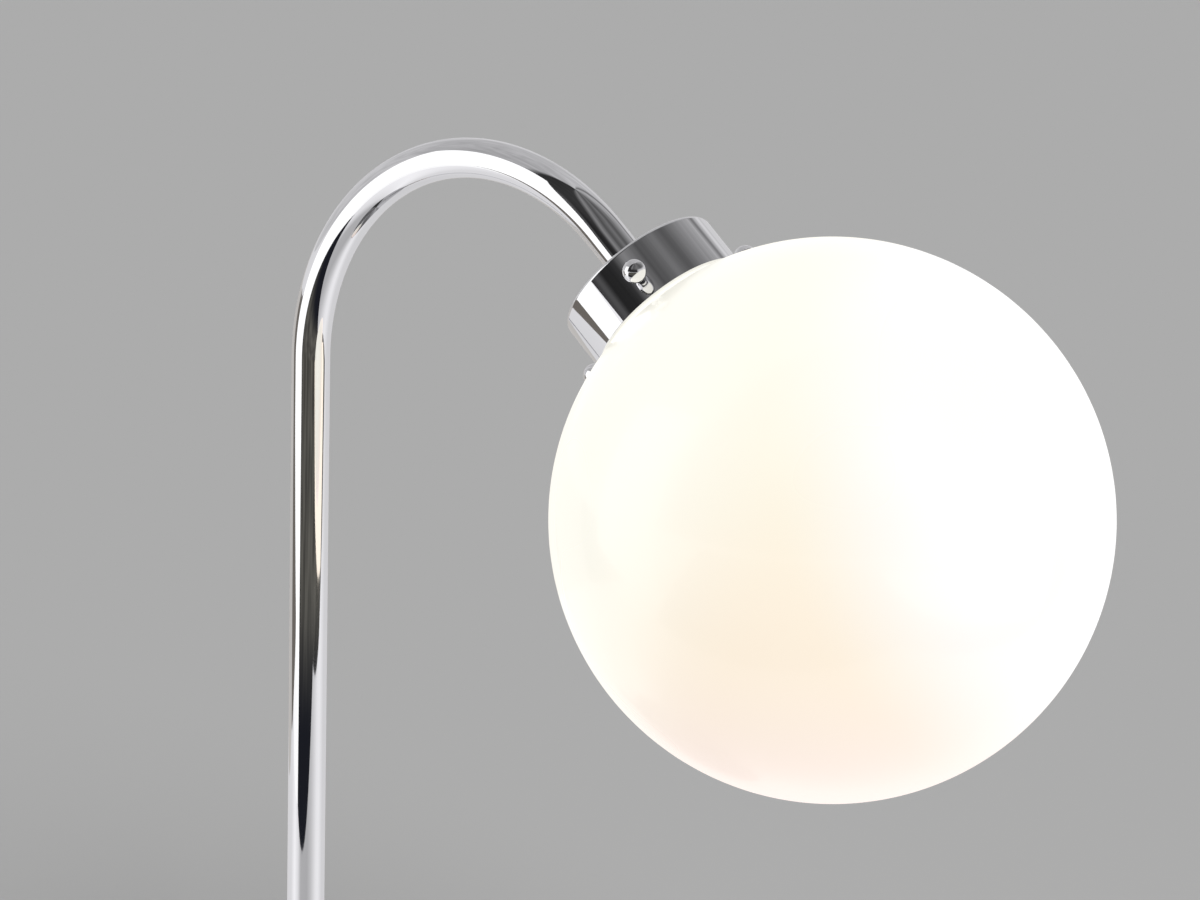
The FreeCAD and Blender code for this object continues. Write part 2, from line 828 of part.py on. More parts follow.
ON_EARTH = at(block_x, earth_y, 0)
lug_bottom = weight_bottom - cell("lug_height")
earth_head = cell("earth_screw_head_dia") / 2
keep(revolve("earth_screw", [
    (0, lug_bottom - 2.5),
    (earth_head, lug_bottom - 2.5),
    (earth_head, lug_bottom),
    (earth_screw_dia / 2, lug_bottom),
    (earth_screw_dia / 2, weight_bottom + 6),
    (0, weight_bottom + 6),
], ON_EARTH))
wire = cell("wire_dia")
lug_hole = earth_screw_dia + 2 * cell("sliding_gap")
keep(ring("earth_lug", lug_hole, cell("lug_dia"), lug_bottom, weight_bottom, ON_EARTH))
along_y = FreeCAD.Rotation(FreeCAD.Vector(1, 0, 0), -90)
keep(rod("earth_wire", wire, earth_y - cell("lug_dia") / 2 - block_side,
         at(block_x, block_side, weight_bottom - wire / 2, along_y)))

# ---- the push switch ---------------------------------------------------------------------------------------

side = cell("switch_side") / 2
switch_bottom = plate_top + 0.5
bezel_top = base_top + cell("bezel_height")
neck_end = base_top + 1.5
bore = cell("plunger_dia") + 2 * cell("running_gap")
spring_foot = plate_top + 4
switch = keep(new_body("switch_body", at(switch_x, 0, switch_bottom)))
for top, (shape, *place) in (
        (weight_top - 4.3, (rectangle, -side, -side, side, side)),
        (weight_top, (circle, 0, 0, cell("switch_side") - 1)),
        (neck_end, (circle, 0, 0, switch_neck))):
    switch_sketch = new_sketch(switch, "XY_Plane")
    shape(switch_sketch, *place)
    pad(switch, switch_sketch, top - switch_bottom)
cut(switch, "XY_Plane", neck_end, [(circle, 0, 0, bore)], lift=spring_foot - switch_bottom)

ON_SWITCH = at(switch_x, 0, 0)
button = cell("button_dia") / 2
button_bottom = neck_end + cell("button_travel") + 0.2
button_top = button_bottom + cell("button_height")
plunger_end = spring_foot + cell("spring_length")
bezel = cell("bezel_dia") / 2
bezel_bore = switch_neck / 2 + cell("running_gap")
bezel_recess = button + 4 * cell("sliding_gap")
keep(revolve("switch_bezel", [
    (bezel_bore, base_top),
    (bezel, base_top),
    (bezel, bezel_top - 1),
    (bezel - 1, bezel_top, 1, 1),
    (bezel_recess, bezel_top),
    (bezel_recess, neck_end),
    (bezel_bore, neck_end),
], ON_SWITCH))
keep(revolve("switch_button", [
    (0, plunger_end),
    (cell("plunger_dia") / 2, plunger_end),
    (cell("plunger_dia") / 2, button_bottom),
    (button, button_bottom),
    (button, button_top - 1),
    (button - 1, button_top, 1, 1),
    (0, button_top),
], ON_SWITCH))


def coil_path(radius, pitch, turns):
    """A coil of quarter-turn spans, each two arcs that meet with one tangent."""
    edges = []
    spans = 4 * turns
    for span in range(spans):
        ends = []
        for angle in (math.pi / 2 * span, math.pi / 2 * (span + 1)):
            place = FreeCAD.Vector(radius * math.cos(angle), radius * math.sin(angle),
                                   pitch * angle / (2 * math.pi))
            heading = FreeCAD.Vector(-radius * math.sin(angle), radius * math.cos(angle),
                                     pitch / (2 * math.pi)).normalize()
            ends.append((place, heading))
        (first, leaving), (last, arriving) = ends
        chord = last - first
        both = leaving + arriving
        square = both.dot(both) - 4
        along = chord.dot(both)
        reach = (along - math.sqrt(along ** 2 - square * chord.dot(chord))) / square
        meeting = (first + last + (leaving - arriving) * reach) / 2
        edges.append(tangent_arc(first, first + leaving * reach, meeting))
        edges.append(tangent_arc(meeting, last - arriving * reach, last))
    return Part.Wire(edges)


def tangent_arc(first, corner, last):
    """The arc from first to last whose two end tangents cross at the corner."""
    middle = (first + last) / 2
    half_turn = (corner - first).getAngle(last - first)
    share = math.tan(half_turn / 2) / math.tan(half_turn)
    return Part.Arc(first, middle + (corner - middle) * share, last).toShape()


spring_wire = cell("spring_wire").number
spring_radius = cell("spring_dia").number / 2
spring_turns = int(cell("spring_turns").number)
spring_pitch = (cell("spring_length").number - spring_wire) / spring_turns
path = coil_path(spring_radius, spring_pitch, spring_turns)
start = FreeCAD.Vector(spring_radius, 0, 0)
first_heading = FreeCAD.Vector(0, spring_radius, spring_pitch / (2 * math.pi))
section = Part.Wire(Part.makeCircle(spring_wire / 2, start, first_heading))
spring = doc.addObject("Part::Feature", "switch_spring")
spring.Label = "switch_spring"
spring.Shape = path.makePipeShell([section], True, False)
spring.Placement = ON_SWITCH * at(0, 0, spring_foot + spring_wire / 2)
keep(spring)
spring_expected = math.pi / 4 * spring_wire ** 2 * path.Length
print(f"switch_spring {spring.Shape.Volume:.2f} mm3, section by length {spring_expected:.2f}, "
      f"gap between turns {spring_pitch - spring_wire:.2f} mm")

block_front = block_x + block_half
keep(group("switch_wires", [
    rod(f"switch_wire_{name}", wire, switch_x - side - block_front,
        at(block_front, y, cell("lead_height"), FreeCAD.Rotation(ACROSS, 90)))
    for name, y in (("in", poles[0]), ("out", poles[2]))]))

# ---- the lead through the tube, from the terminal block to the lampholder ------------------------------

bend = cell("lead_bend")
lead_z = cell("lead_height")
lead_tail = neck_reach - insert_top
keep(pipe("inner_lead", [
    (0, 0),
    (stem_x - bend - block_front, 0),
    (stem_x - block_front, bend, bend, 1),
    (stem_x - block_front, arch_foot - lead_z),
    (stem_x - block_front + arch_end_x, arch_end_z - lead_z, arch_radius, -1),
    (stem_x - block_front + arch_end_x + lead_tail * sine(turn),
     arch_end_z - lead_z + lead_tail * cosine(turn)),
], "YZ_Plane", cell("lead_dia"), None, at(block_front, 0, lead_z)))

# ---- test every object, then write each node ------------------------------------------------------------

doc.recompute()
for item in doc.Objects:
    if {"Invalid", "Error"} & set(item.State):
        raise RuntimeError(f"{item.Label} did not rebuild: {item.State}")
for label, piece in NODES.items():
    if piece.Shape.isNull() or not piece.Shape.isValid():
        raise RuntimeError(f"{label} has no valid shape")

os.makedirs("parts", exist_ok=True)
for label, piece in NODES.items():
    piece.Shape.exportStep(f"parts/{label}.step")
    solids = piece.Shape.Solids
    print(f"{label}: {len(solids)} solid(s), {sum(s.Volume for s in solids) / 1000:.2f} cm3")


def tube_volume(outer, inner, lengths):
    return math.pi / 4 * (outer ** 2 - inner ** 2) * sum(lengths)


arch_length = arch_radius.number * math.radians(turn.number)
straight = (arch_foot - base_top).number
tail = cell("tube_tail").number
expected = tube_volume(cell("tube_dia").number, tube_bore.number, [straight, arch_length, tail])
print(f"arch_tube {NODES['arch_tube'].Shape.Volume:.1f} mm3, section by length {expected:.1f}")
print(f"globe centre {globe_x.number:.2f}, {globe_z.number:.2f}")
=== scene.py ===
# %% [markdown]
# # A glass globe table lamp
#
# The real lamp is a short row of things: a heavy round foot, one chromed tube that rises from it
# and bends over, a small turned cup at the tube's end, and an opal glass globe that hangs in the
# cup by three ball-headed screws. Every piece already exists as a solid, at its real size, and
# this script dresses those solids.
#
# They are loaded first, as a frame that is never moved. Plain hidden pieces keep their solids and
# get a finish. Pieces that shine are built again exactly where their solids are, because a mirror
# shows every flat facet of a coarse mesh.

import json
import math

import bmesh
import bpy
from mathutils import Matrix, Vector


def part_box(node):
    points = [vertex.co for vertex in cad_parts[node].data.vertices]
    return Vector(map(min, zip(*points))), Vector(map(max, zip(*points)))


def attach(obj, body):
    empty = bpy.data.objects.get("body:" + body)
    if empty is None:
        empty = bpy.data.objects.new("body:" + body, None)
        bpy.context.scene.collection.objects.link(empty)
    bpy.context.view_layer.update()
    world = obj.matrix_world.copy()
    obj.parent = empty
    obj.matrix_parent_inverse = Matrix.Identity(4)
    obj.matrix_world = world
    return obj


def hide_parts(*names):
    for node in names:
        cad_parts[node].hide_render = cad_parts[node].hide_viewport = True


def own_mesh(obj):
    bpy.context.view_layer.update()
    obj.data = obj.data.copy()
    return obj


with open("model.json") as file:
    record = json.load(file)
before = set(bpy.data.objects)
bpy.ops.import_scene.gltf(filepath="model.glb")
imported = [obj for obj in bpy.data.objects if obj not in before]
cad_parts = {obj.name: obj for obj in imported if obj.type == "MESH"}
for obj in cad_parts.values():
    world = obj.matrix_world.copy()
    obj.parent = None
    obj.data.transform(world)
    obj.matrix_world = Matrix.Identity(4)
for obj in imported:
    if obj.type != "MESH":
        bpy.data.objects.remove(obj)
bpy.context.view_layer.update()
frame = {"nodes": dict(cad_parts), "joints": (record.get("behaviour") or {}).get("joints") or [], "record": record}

# %% [markdown]
# ## The camera
#
# The lamp is seen from its right front with a long lens, a little from above. A long lens keeps
# the globe round: seen from close by, a ball stretches towards the picture's edge. The camera is
# turned by three angles, as on a tripod: a heading about the upright axis, a pitch downwards and
# a slight roll. The picture stops above the foot, so the stem leaves it at the lower edge.

# %% Camera
FOCAL_LENGTH = 120
SENSOR_WIDTH = 36
HEADING = math.radians(38.98)
PITCH = math.radians(13.65)
ROLL = math.radians(1.56)
CAMERA_PLACE = Vector((1.00404, -1.11530, 0.68968))


def linked(name, data):
    """A new object in the scene, at the origin."""
    made = bpy.data.objects.new(name, data)
    bpy.context.scene.collection.objects.link(made)
    return made


lens = bpy.data.cameras.new("camera")
lens.lens = FOCAL_LENGTH
lens.sensor_width = SENSOR_WIDTH
camera = linked("camera", lens)
camera.matrix_world = (
    Matrix.Translation(CAMERA_PLACE)
    @ Matrix.Rotation(HEADING, 4, "Z")
    @ Matrix.Rotation(math.pi / 2 - PITCH, 4, "X")
    @ Matrix.Rotation(ROLL, 4, "Z")
)
bpy.context.scene.camera = camera
bpy.context.scene.view_settings.view_transform = "Standard"
print("the camera stands at", CAMERA_PLACE)

# %% [markdown]
# ## Where things are
#
# A lathe piece needs an axis, and a few heights and radii of its solid. All of them can be read
# from the frame, so nothing has to be measured twice. The globe hangs on a slanted line, here
# called the neck axis. The bulb unscrews along that line, so the bulb's joint gives its direction.
# The one vertex of the globe that lies furthest down the line is the globe's pole, and the ball's
# centre is one radius above it.

# %% Axes and reaches
GLOBE_RADIUS = 0.100
UP = Vector((0, 0, 1))


def vertices(node):
    return [vertex.co for vertex in frame["nodes"][node].data.vertices]


def reach(node, start, axis):
    """A solid's lowest and highest place along an axis, and its greatest distance from it."""
    places = [place - start for place in vertices(node)]
    heights = [place.dot(axis) for place in places]
    radii = [(place - axis * height).length for place, height in zip(places, heights)]
    return min(heights), max(heights), max(radii)


def middle(node):
    low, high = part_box(node)
    return (low + high) / 2


bulb_joint = next(joint for joint in frame["joints"] if joint["child"] == "bulb")
neck_axis = -Vector(bulb_joint["axis"]).normalized()
pole = min(vertices("glass_globe"), key=lambda place: place.dot(neck_axis))
globe_centre = pole + neck_axis * GLOBE_RADIUS

stem_foot = middle("stem_collar")
stem_foot.z = 0
switch_foot = middle("switch_bezel")
switch_foot.z = 0
print("globe centre", globe_centre, "neck axis", neck_axis)

# %% [markdown]
# ## A short way to write nodes
#
# Materials and Geometry Nodes are both trees of nodes. Written out in full, a sum of two numbers
# takes five lines, and the sum itself is hard to see. Here one small class wraps a socket, so
# that `0.05 + noise * 0.1` adds the two Math nodes by itself. Every other node comes from one
# method that takes the node's type, its settings, and what goes into its sockets.

# %% Node helpers
class Value:
    """A socket in a tree. Sums written with it add Math nodes."""

    def __init__(self, tree, socket):
        self.tree = tree
        self.socket = socket

    def sum(self, operation, first, second=0.0):
        return self.tree.node("ShaderNodeMath", {"operation": operation}, {0: first, 1: second})

    def __add__(self, other):
        return self.sum("ADD", self, other)

    def __radd__(self, other):
        return self.sum("ADD", other, self)

    def __sub__(self, other):
        return self.sum("SUBTRACT", self, other)

    def __rsub__(self, other):
        return self.sum("SUBTRACT", other, self)

    def __mul__(self, other):
        return self.sum("MULTIPLY", self, other)

    def __rmul__(self, other):
        return self.sum("MULTIPLY", other, self)

    def __truediv__(self, other):
        return self.sum("DIVIDE", self, other)

    def __rtruediv__(self, other):
        return self.sum("DIVIDE", other, self)


class Nodes:
    """A tree of nodes that is filled one node at a time."""

    def __init__(self, group):
        self.group = group
        group.nodes.clear()

    def node(self, kind, settings={}, sockets={}, output=0):
        """Add a node: its settings first, then what goes into its sockets, by name or number."""
        made = self.group.nodes.new(kind)
        made.location.x = 200 * len(self.group.nodes)
        for name, setting in settings.items():
            if name == "stops":
                set_stops(made.color_ramp, setting)
            else:
                setattr(made, name, setting)
        for name, given in sockets.items():
            for item in given if isinstance(given, list) else [given]:
                if isinstance(item, Value):
                    self.group.links.new(item.socket, made.inputs[name])
                else:
                    made.inputs[name].default_value = item
        return Value(self, made.outputs[output]) if made.outputs else None


def set_stops(ramp, stops):
    """Give a colour ramp its stops: (place, colour) pairs."""
    while len(ramp.elements) < len(stops):
        ramp.elements.new(1)
    for element, (place, colour) in zip(ramp.elements, stops):
        element.position = place
        element.color = (*colour, 1)


# %% [markdown]
# ## Finishes
#
# No real surface has one flat colour. Even chrome has a faint haze from wiping, and rubber has a
# grain. Each finish below is a small tree that reads the place on the piece in metres, so that a
# pattern keeps its real size on every piece, and that ends in one Principled shader.
#
# A pattern could also come from a UV map, but these pieces are turned, moulded or cast, and their
# grain does not follow the surface. So places in space are the simpler choice.

# %% Patterns
class Patterns(Nodes):
    """A shader tree whose patterns are made from a place, or in the world from a direction."""

    WHERE = "Object"

    def place(self):
        return self.node("ShaderNodeTexCoord", output=self.WHERE)

    def stretched(self, stretch):
        """The place, squeezed along an axis so that a pattern becomes streaks."""
        return self.node("ShaderNodeMapping", {"vector_type": "POINT"},
                         {"Vector": self.place(), "Scale": stretch})

    def noise(self, size, detail=2.0, stretch=(1, 1, 1)):
        """Soft blotches of about this size, in metres, from 0 to 1."""
        return self.node("ShaderNodeTexNoise", {"noise_dimensions": "3D"}, {
            "Vector": self.stretched(stretch), "Scale": 1 / size, "Detail": detail})

    def cells(self, size):
        """Crystal-like patches, each with its own grey, from 0 to 1."""
        colour = self.node("ShaderNodeTexVoronoi", {"feature": "F1"},
                           {"Vector": self.place(), "Scale": 1 / size}, "Color")
        return self.node("ShaderNodeSeparateColor", {}, {"Color": colour})

    def between(self, value, low, high):
        """0 below low, 1 above high, and a soft step in between."""
        return self.node("ShaderNodeMapRange", {"interpolation_type": "SMOOTHSTEP"},
                         {"Value": value, "From Min": low, "From Max": high})

    def mix(self, share, first, second):
        """Blend two colours, each a colour or a link."""
        first, second = (item if isinstance(item, Value) else (*item, 1)
                         for item in (first, second))
        return self.node("ShaderNodeMix", {"data_type": "RGBA"},
                         {0: share, 6: first, 7: second}, 2)


# %% Finishes
class Finish(Patterns):
    """A material, and the few nodes that only a surface needs."""

    def __init__(self, name):
        self.material = bpy.data.materials.new(name)
        self.material.use_nodes = True
        super().__init__(self.material.node_tree)

    def bump(self, height, depth):
        """Turn a pattern from 0 to 1 into relief of this depth, in metres."""
        return self.node("ShaderNodeBump", {}, {"Height": height, "Distance": depth})

    def emission(self, colour, strength=1.0):
        return self.node("ShaderNodeEmission", {}, {"Color": colour, "Strength": strength})

    def ends_in(self, shader):
        """Make this shader the one that the material shows."""
        self.node("ShaderNodeOutputMaterial", {}, {"Surface": shader})
        return self.material

    def surface(self, sockets):
        return self.ends_in(self.node("ShaderNodeBsdfPrincipled", {}, sockets))


# %% [markdown]
# ## Chrome
#
# Bright chrome plate is almost a perfect mirror. What tells it from a computer's mirror is a haze
# that comes and goes, and a faint unevenness left by polishing the steel under it. So the
# roughness wanders between two low values, and the bump is a hundredth of a millimetre over
# centimetres, which only makes a reflected edge a little alive.

# %% Polished chrome
def polished_chrome():
    finish = Finish("polished_chrome")
    haze = finish.noise(0.018, 4)
    wave = finish.noise(0.03, 1)
    return finish.surface({
        "Base Color": finish.mix(haze, (0.86, 0.86, 0.875), (0.90, 0.90, 0.91)),
        "Metallic": 1.0,
        "Roughness": 0.02 + haze * 0.03,
        "Normal": finish.bump(wave, 0.00001),
    })


# %% [markdown]
# ## Opal glass
#
# An opal globe is clear glass with a thin milky layer, so it glows evenly and still has a hard,
# glossy skin. Real light could be sent through a thick milky shell, but that takes very long to
# render without noise. Here the glow is emission, and the gloss is a clear coat. The glow is
# creamier where the light comes straight from the bulb. Light from outside is painted into the
# glow too. It is painted whiter on two sides, the one that the daylight reaches and the one that
# faces the white card, and low on the ball a painted warm light comes back from the table. Faint
# clouds in the glass keep these changes from being even.

# %% Opal glass
CREAM = (0.97, 0.845, 0.680)
UPPER = (0.945, 0.905, 0.740)
# The next three colours are painted light: warm light back from the table, daylight, and the white card's light.
PAINTED_TABLE_LIGHT = (0.965, 0.820, 0.735)
PAINTED_DAYLIGHT = (0.955, 0.950, 0.930)
PAINTED_CARD_LIGHT = (0.980, 0.960, 0.865)
CLOUD_SIZE = 0.09
CLOUD_DRIFT = 0.1
DAY_SIDE = Vector((0.88, 0.25, 0.40)).normalized()
CARD_SIDE = Vector((-0.80, -0.45, 0.35)).normalized()


def along(finish, direction):
    """How far the place lies from the globe's centre in one direction, in globe radii."""
    offset = finish.node("ShaderNodeVectorMath", {"operation": "SUBTRACT"},
                         {0: finish.place(), 1: globe_centre})
    length = finish.node("ShaderNodeVectorMath", {"operation": "DOT_PRODUCT"},
                         {0: offset, 1: direction}, "Value")
    return length / GLOBE_RADIUS


def opal_glass():
    finish = Finish("opal_glass")
    clouds = finish.noise(CLOUD_SIZE, 1)
    drift = clouds * CLOUD_DRIFT
    height = along(finish, UP) + drift
    warm = finish.mix(finish.between(height, -0.2, 0.75), CREAM, UPPER)
    # Painted warm light from the table, low on the ball.
    warm = finish.mix(finish.between(0.1 - height, 0.2, 0.9), warm, PAINTED_TABLE_LIGHT)
    # Painted daylight on the side that the daylight reaches, and painted light from the white card on the side
    # that faces it.
    day = finish.between(along(finish, DAY_SIDE) + drift, 0.25, 0.75)
    card = finish.between(along(finish, CARD_SIDE) + drift, 0.1, 0.85)
    return finish.surface({
        "Base Color": finish.mix(clouds, (0.17, 0.169, 0.167), (0.19, 0.188, 0.186)),
        "Roughness": 0.25 + clouds * 0.06,
        "Coat Weight": 0.3,
        "Coat Roughness": 0.07,
        "Emission Color": finish.mix(card, finish.mix(day, warm, PAINTED_DAYLIGHT), PAINTED_CARD_LIGHT),
        "Emission Strength": 0.90,
    })


# %% [markdown]
# ## Turned, plated and cast metals
#
# The metal inside the lamp is plain hardware. Turned metal has fine streaks from the tool,
# zinc-plated steel has a crystal bloom, and cast iron is grey and sandy, with a little rust.

# %% Hardware metals
def turned_metal(name, dark, light, roughness):
    """A machined metal with fine streaks from the tool."""
    finish = Finish(name)
    streaks = finish.noise(0.0004, 3, (1, 1, 0.15))
    return finish.surface({
        "Base Color": finish.mix(streaks, dark, light),
        "Metallic": 1.0,
        "Roughness": roughness + streaks * 0.12,
        "Normal": finish.bump(streaks, 0.00001),
    })


def zinc_steel():
    finish = Finish("zinc_steel")
    bloom = finish.cells(0.0012)
    return finish.surface({
        "Base Color": finish.mix(bloom, (0.50, 0.51, 0.53), (0.66, 0.67, 0.69)),
        "Metallic": 1.0,
        "Roughness": 0.28 + bloom * 0.15,
        "Normal": finish.bump(finish.noise(0.0006), 0.00001),
    })


def cast_iron():
    finish = Finish("cast_iron")
    sand = finish.noise(0.0011, 5)
    rust = finish.between(finish.noise(0.02, 3), 0.55, 0.75)
    grey = finish.mix(sand, (0.035, 0.036, 0.038), (0.085, 0.086, 0.09))
    return finish.surface({
        "Base Color": finish.mix(rust * 0.35, grey, (0.16, 0.075, 0.04)),
        "Metallic": 0.6,
        "Roughness": 0.55 + sand * 0.3,
        "Normal": finish.bump(sand, 0.0003),
    })


# %% [markdown]
# ## Mouldings, rubber, ceramic and glass
#
# These differ in colour, in gloss and in the size of their grain, and in nothing else, so one
# function makes them all. The insulation of the earth wire is the one with a pattern: two colours
# in stripes along the wire, which a wave across it gives.

# %% Grained finishes
def grained(name, dark, light, size, roughness, relief, coat):
    """A moulded, fired or blown surface: two close colours, and a grain of one size."""
    finish = Finish(name)
    grain = finish.noise(size, 3)
    return finish.surface({
        "Base Color": finish.mix(grain, dark, light),
        "Roughness": roughness + grain * 0.1,
        "Coat Weight": coat,
        "Normal": finish.bump(grain, relief),
    })


def earth_sheath():
    finish = Finish("earth_sheath")
    stripes = finish.node("ShaderNodeTexWave", {"bands_direction": "X"},
                          {"Vector": finish.place(), "Scale": 180.0}, "Fac")
    return finish.surface({
        "Base Color": finish.mix(finish.between(stripes, 0.45, 0.55),
                                 (0.03, 0.22, 0.05), (0.75, 0.62, 0.03)),
        "Roughness": 0.35 + finish.noise(0.001) * 0.1,
    })


# %% All finishes
GRAINED = {
    # dark colour, light colour, grain, roughness, relief, coat
    "clear_silicone": ((0.66, 0.66, 0.64), (0.74, 0.74, 0.72), 0.0040, 0.30, 1e-5, 0.0),
    "holder_plastic": ((0.018, 0.018, 0.020), (0.030, 0.030, 0.032), 0.0008, 0.32, 1e-5, 0.0),
    "white_ceramic": ((0.72, 0.71, 0.67), (0.80, 0.79, 0.76), 0.0015, 0.22, 1e-5, 0.5),
    "frosted_glass": ((0.82, 0.80, 0.76), (0.88, 0.87, 0.84), 0.0006, 0.40, 5e-6, 0.0),
    "clear_glass": ((0.60, 0.63, 0.62), (0.68, 0.70, 0.69), 0.0060, 0.05, 1e-6, 1.0),
    "black_glass": ((0.010, 0.010, 0.012), (0.022, 0.020, 0.024), 0.0020, 0.08, 1e-6, 1.0),
    "filament_coat": ((0.78, 0.60, 0.16), (0.86, 0.72, 0.26), 0.0007, 0.55, 3e-5, 0.0),
    "pad_rubber": ((0.014, 0.014, 0.014), (0.030, 0.030, 0.030), 0.0009, 0.75, 1e-4, 0.0),
    "black_rubber": ((0.016, 0.016, 0.017), (0.028, 0.028, 0.030), 0.0012, 0.55, 2e-5, 0.0),
    "white_nylon": ((0.68, 0.67, 0.63), (0.76, 0.75, 0.71), 0.0009, 0.42, 1e-5, 0.0),
    "black_plastic": ((0.014, 0.014, 0.015), (0.024, 0.024, 0.026), 0.0007, 0.38, 1e-5, 0.0),
    "wire_sheath": ((0.10, 0.045, 0.02), (0.14, 0.065, 0.03), 0.0015, 0.38, 1e-5, 0.0),
    "lead_sheath": ((0.62, 0.62, 0.60), (0.70, 0.70, 0.68), 0.0018, 0.40, 1e-5, 0.0),
}
FINISHES = {
    "polished_chrome": polished_chrome(),
    "opal_glass": opal_glass(),
    "brass": turned_metal("brass", (0.62, 0.44, 0.17), (0.82, 0.62, 0.28), 0.22),
    "nickel_brass": turned_metal("nickel_brass", (0.55, 0.52, 0.46), (0.72, 0.69, 0.62), 0.2),
    "spring_steel": turned_metal("spring_steel", (0.34, 0.34, 0.35), (0.55, 0.55, 0.56), 0.25),
    "solder": turned_metal("solder", (0.45, 0.45, 0.46), (0.66, 0.66, 0.67), 0.3),
    "zinc_steel": zinc_steel(),
    "cast_iron": cast_iron(),
    "earth_sheath": earth_sheath(),
}
FINISHES.update({name: grained(name, *look) for name, look in GRAINED.items()})
print(len(FINISHES), "finishes")

# %% [markdown]
# ## Dressing the solids
#
# Every solid names the finish that its real piece has. One loop gives each its material. Where a
# piece is built again further down, its solid is hidden then, and this material isn't seen.

# %% Finish every solid
for part in frame["record"]["subparts"]:
    for slot in frame["nodes"][part["node"]].material_slots:
        slot.material = FINISHES[part["material_slot"]]
print(len(frame["nodes"]), "solids dressed with", len(FINISHES), "finishes")

# %% [markdown]
# ## A lathe
#
# The cup, the globe, the foot and its small fittings are all turned or spun: one outline swept
# once round an axis. The outline is a list of (radius, height) points, and a rounded edge is an
# arc of many short steps. Most edges are quarter arcs, and even a sharp one is broken by a quarter
# of a millimetre. Each point of the outline becomes a ring of vertices, or one vertex where it lies
# on the axis. Faces join the rings, and the last step's faces lead back to the first vertices, so
# there is no seam. Then the normals are pointed outwards. Blender's Spin could sweep the outline
# too, but it leaves its faces in another order on each run.
#
# A mirror finish needs one thing more. Where a long flat wall meets a small rounded edge, plain
# smooth shading bends the reflection all along the wall. A Weighted Normal modifier lets the large
# faces keep their true direction, so that only the small ones bend.

# %% Lathe helpers
SHARP_ANGLE = math.radians(35)
BROKEN = 0.00025


def arc(centre, radius, first, last, steps):
    """Points on an arc, from one angle to the other, in degrees from the outward direction."""
    angles = [math.radians(first + (last - first) * step / steps) for step in range(steps + 1)]
    return [(centre[0] + radius * math.cos(angle), centre[1] + radius * math.sin(angle))
            for angle in angles]


def corner(radius, height, edge, first, steps=3):
    """A quarter arc from its first angle, to round the outline's corner at (radius, height)."""
    inwards = -1 if first < 90 else 1
    upwards = 1 if first < 0 else -1
    return arc((radius + inwards * edge, height + upwards * edge), edge, first, first + 90, steps)


def show(name, mesh, slot, body, *solids):
    """Put a finished mesh in the scene, in place of its solids, on the body that carries it."""
    mesh.name = name
    mesh.materials.clear()
    mesh.materials.append(FINISHES[slot])
    piece = linked(name, mesh)
    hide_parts(*solids)
    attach(piece, body)
    print(name, len(mesh.polygons), "faces")
    return piece


def settled(mesh, modifiers={}):
    """A plain mesh from a rough one: smooth, with sharp corners kept, and modifiers applied."""
    mesh.shade_smooth()
    mesh.set_sharp_from_angle(angle=SHARP_ANGLE)
    carrier = linked("carrier", mesh)
    for kind, settings in {**modifiers, "WEIGHTED_NORMAL": {"keep_sharp": True}}.items():
        modifier = carrier.modifiers.new(kind.title(), kind)
        for name, setting in settings.items():
            setattr(modifier, name, setting)
    evaluated = carrier.evaluated_get(bpy.context.evaluated_depsgraph_get())
    result = bpy.data.meshes.new_from_object(evaluated)
    bpy.data.objects.remove(carrier)
    return result


def turned(outline, foot, axis, steps):
    """Sweep an outline of (radius, height) points once round an axis through foot."""
    form = bmesh.new()
    lean = UP.rotation_difference(axis)
    rings = []
    for radius, height in outline:
        turns = [math.tau * step / steps for step in range(steps if radius else 1)]
        ring = [form.verts.new(foot + lean @ Vector(
            (radius * math.cos(turn), radius * math.sin(turn), height))) for turn in turns]
        rings.append(ring * (steps // len(ring)))
    if outline[0][0] > 0 or outline[-1][0] > 0:
        rings.append(rings[0])
    for ring, following in zip(rings, rings[1:]):
        for step in range(steps):
            corners = dict.fromkeys((ring[step - 1], ring[step], following[step],
                                     following[step - 1]))
            if len(corners) > 2:
                form.faces.new(list(corners))
    bmesh.ops.recalc_face_normals(form, faces=form.faces)
    mesh = bpy.data.meshes.new("turned")
    form.to_mesh(mesh)
    form.free()
    return mesh


# %% [markdown]
# ## The cup
#
# The cup is turned from brass and plated: a short cylinder with a flat top, a rounded top edge and
# an open mouth that the globe's neck goes into. The rounding is what draws the thin bright line
# round its top. A turned mouth is never knife-sharp, so its two corners are broken.

# %% The cup
CUP_WALL = 0.0020
CUP_EDGE = 0.0015
CUP_STEPS = 192

cup_mouth, cup_top, cup_radius = reach("globe_cup", globe_centre, neck_axis)
bush_radius = reach("tube_end_bush", globe_centre, neck_axis)[2]
cup_floor = cup_top - CUP_WALL
cup_inside = cup_radius - CUP_WALL
cup_outline = [
    (bush_radius - CUP_WALL, cup_floor),
    (cup_inside, cup_floor),
    (cup_inside, cup_mouth + BROKEN),
    (cup_inside + BROKEN, cup_mouth),
    *corner(cup_radius, cup_mouth, BROKEN, -90),
    *corner(cup_radius, cup_top, CUP_EDGE, 0, 12),
    (bush_radius - CUP_WALL, cup_top),
]
cup_mesh = settled(turned(cup_outline, globe_centre, neck_axis, CUP_STEPS))
show("cup", cup_mesh, "polished_chrome", "lamp", "globe_cup")

# %% [markdown]
# ## The globe
#
# The globe is blown in a mould: a ball, a fillet where the ball turns into the neck, the neck
# itself, and a pressed lip that the screws catch under. It is drawn with its inside wall, because
# the glass has a thickness that shows when the bulb is changed. The fillet's centre lies a fillet
# radius outside both the neck and the ball, and that gives its height.

# %% The globe
GLASS = 0.003
NECK_RADIUS = 0.0276
NECK_FILLET = 0.004
LIP_HEIGHT = 0.0040
GLOBE_STEPS = 160
NEAR_POLE = 89

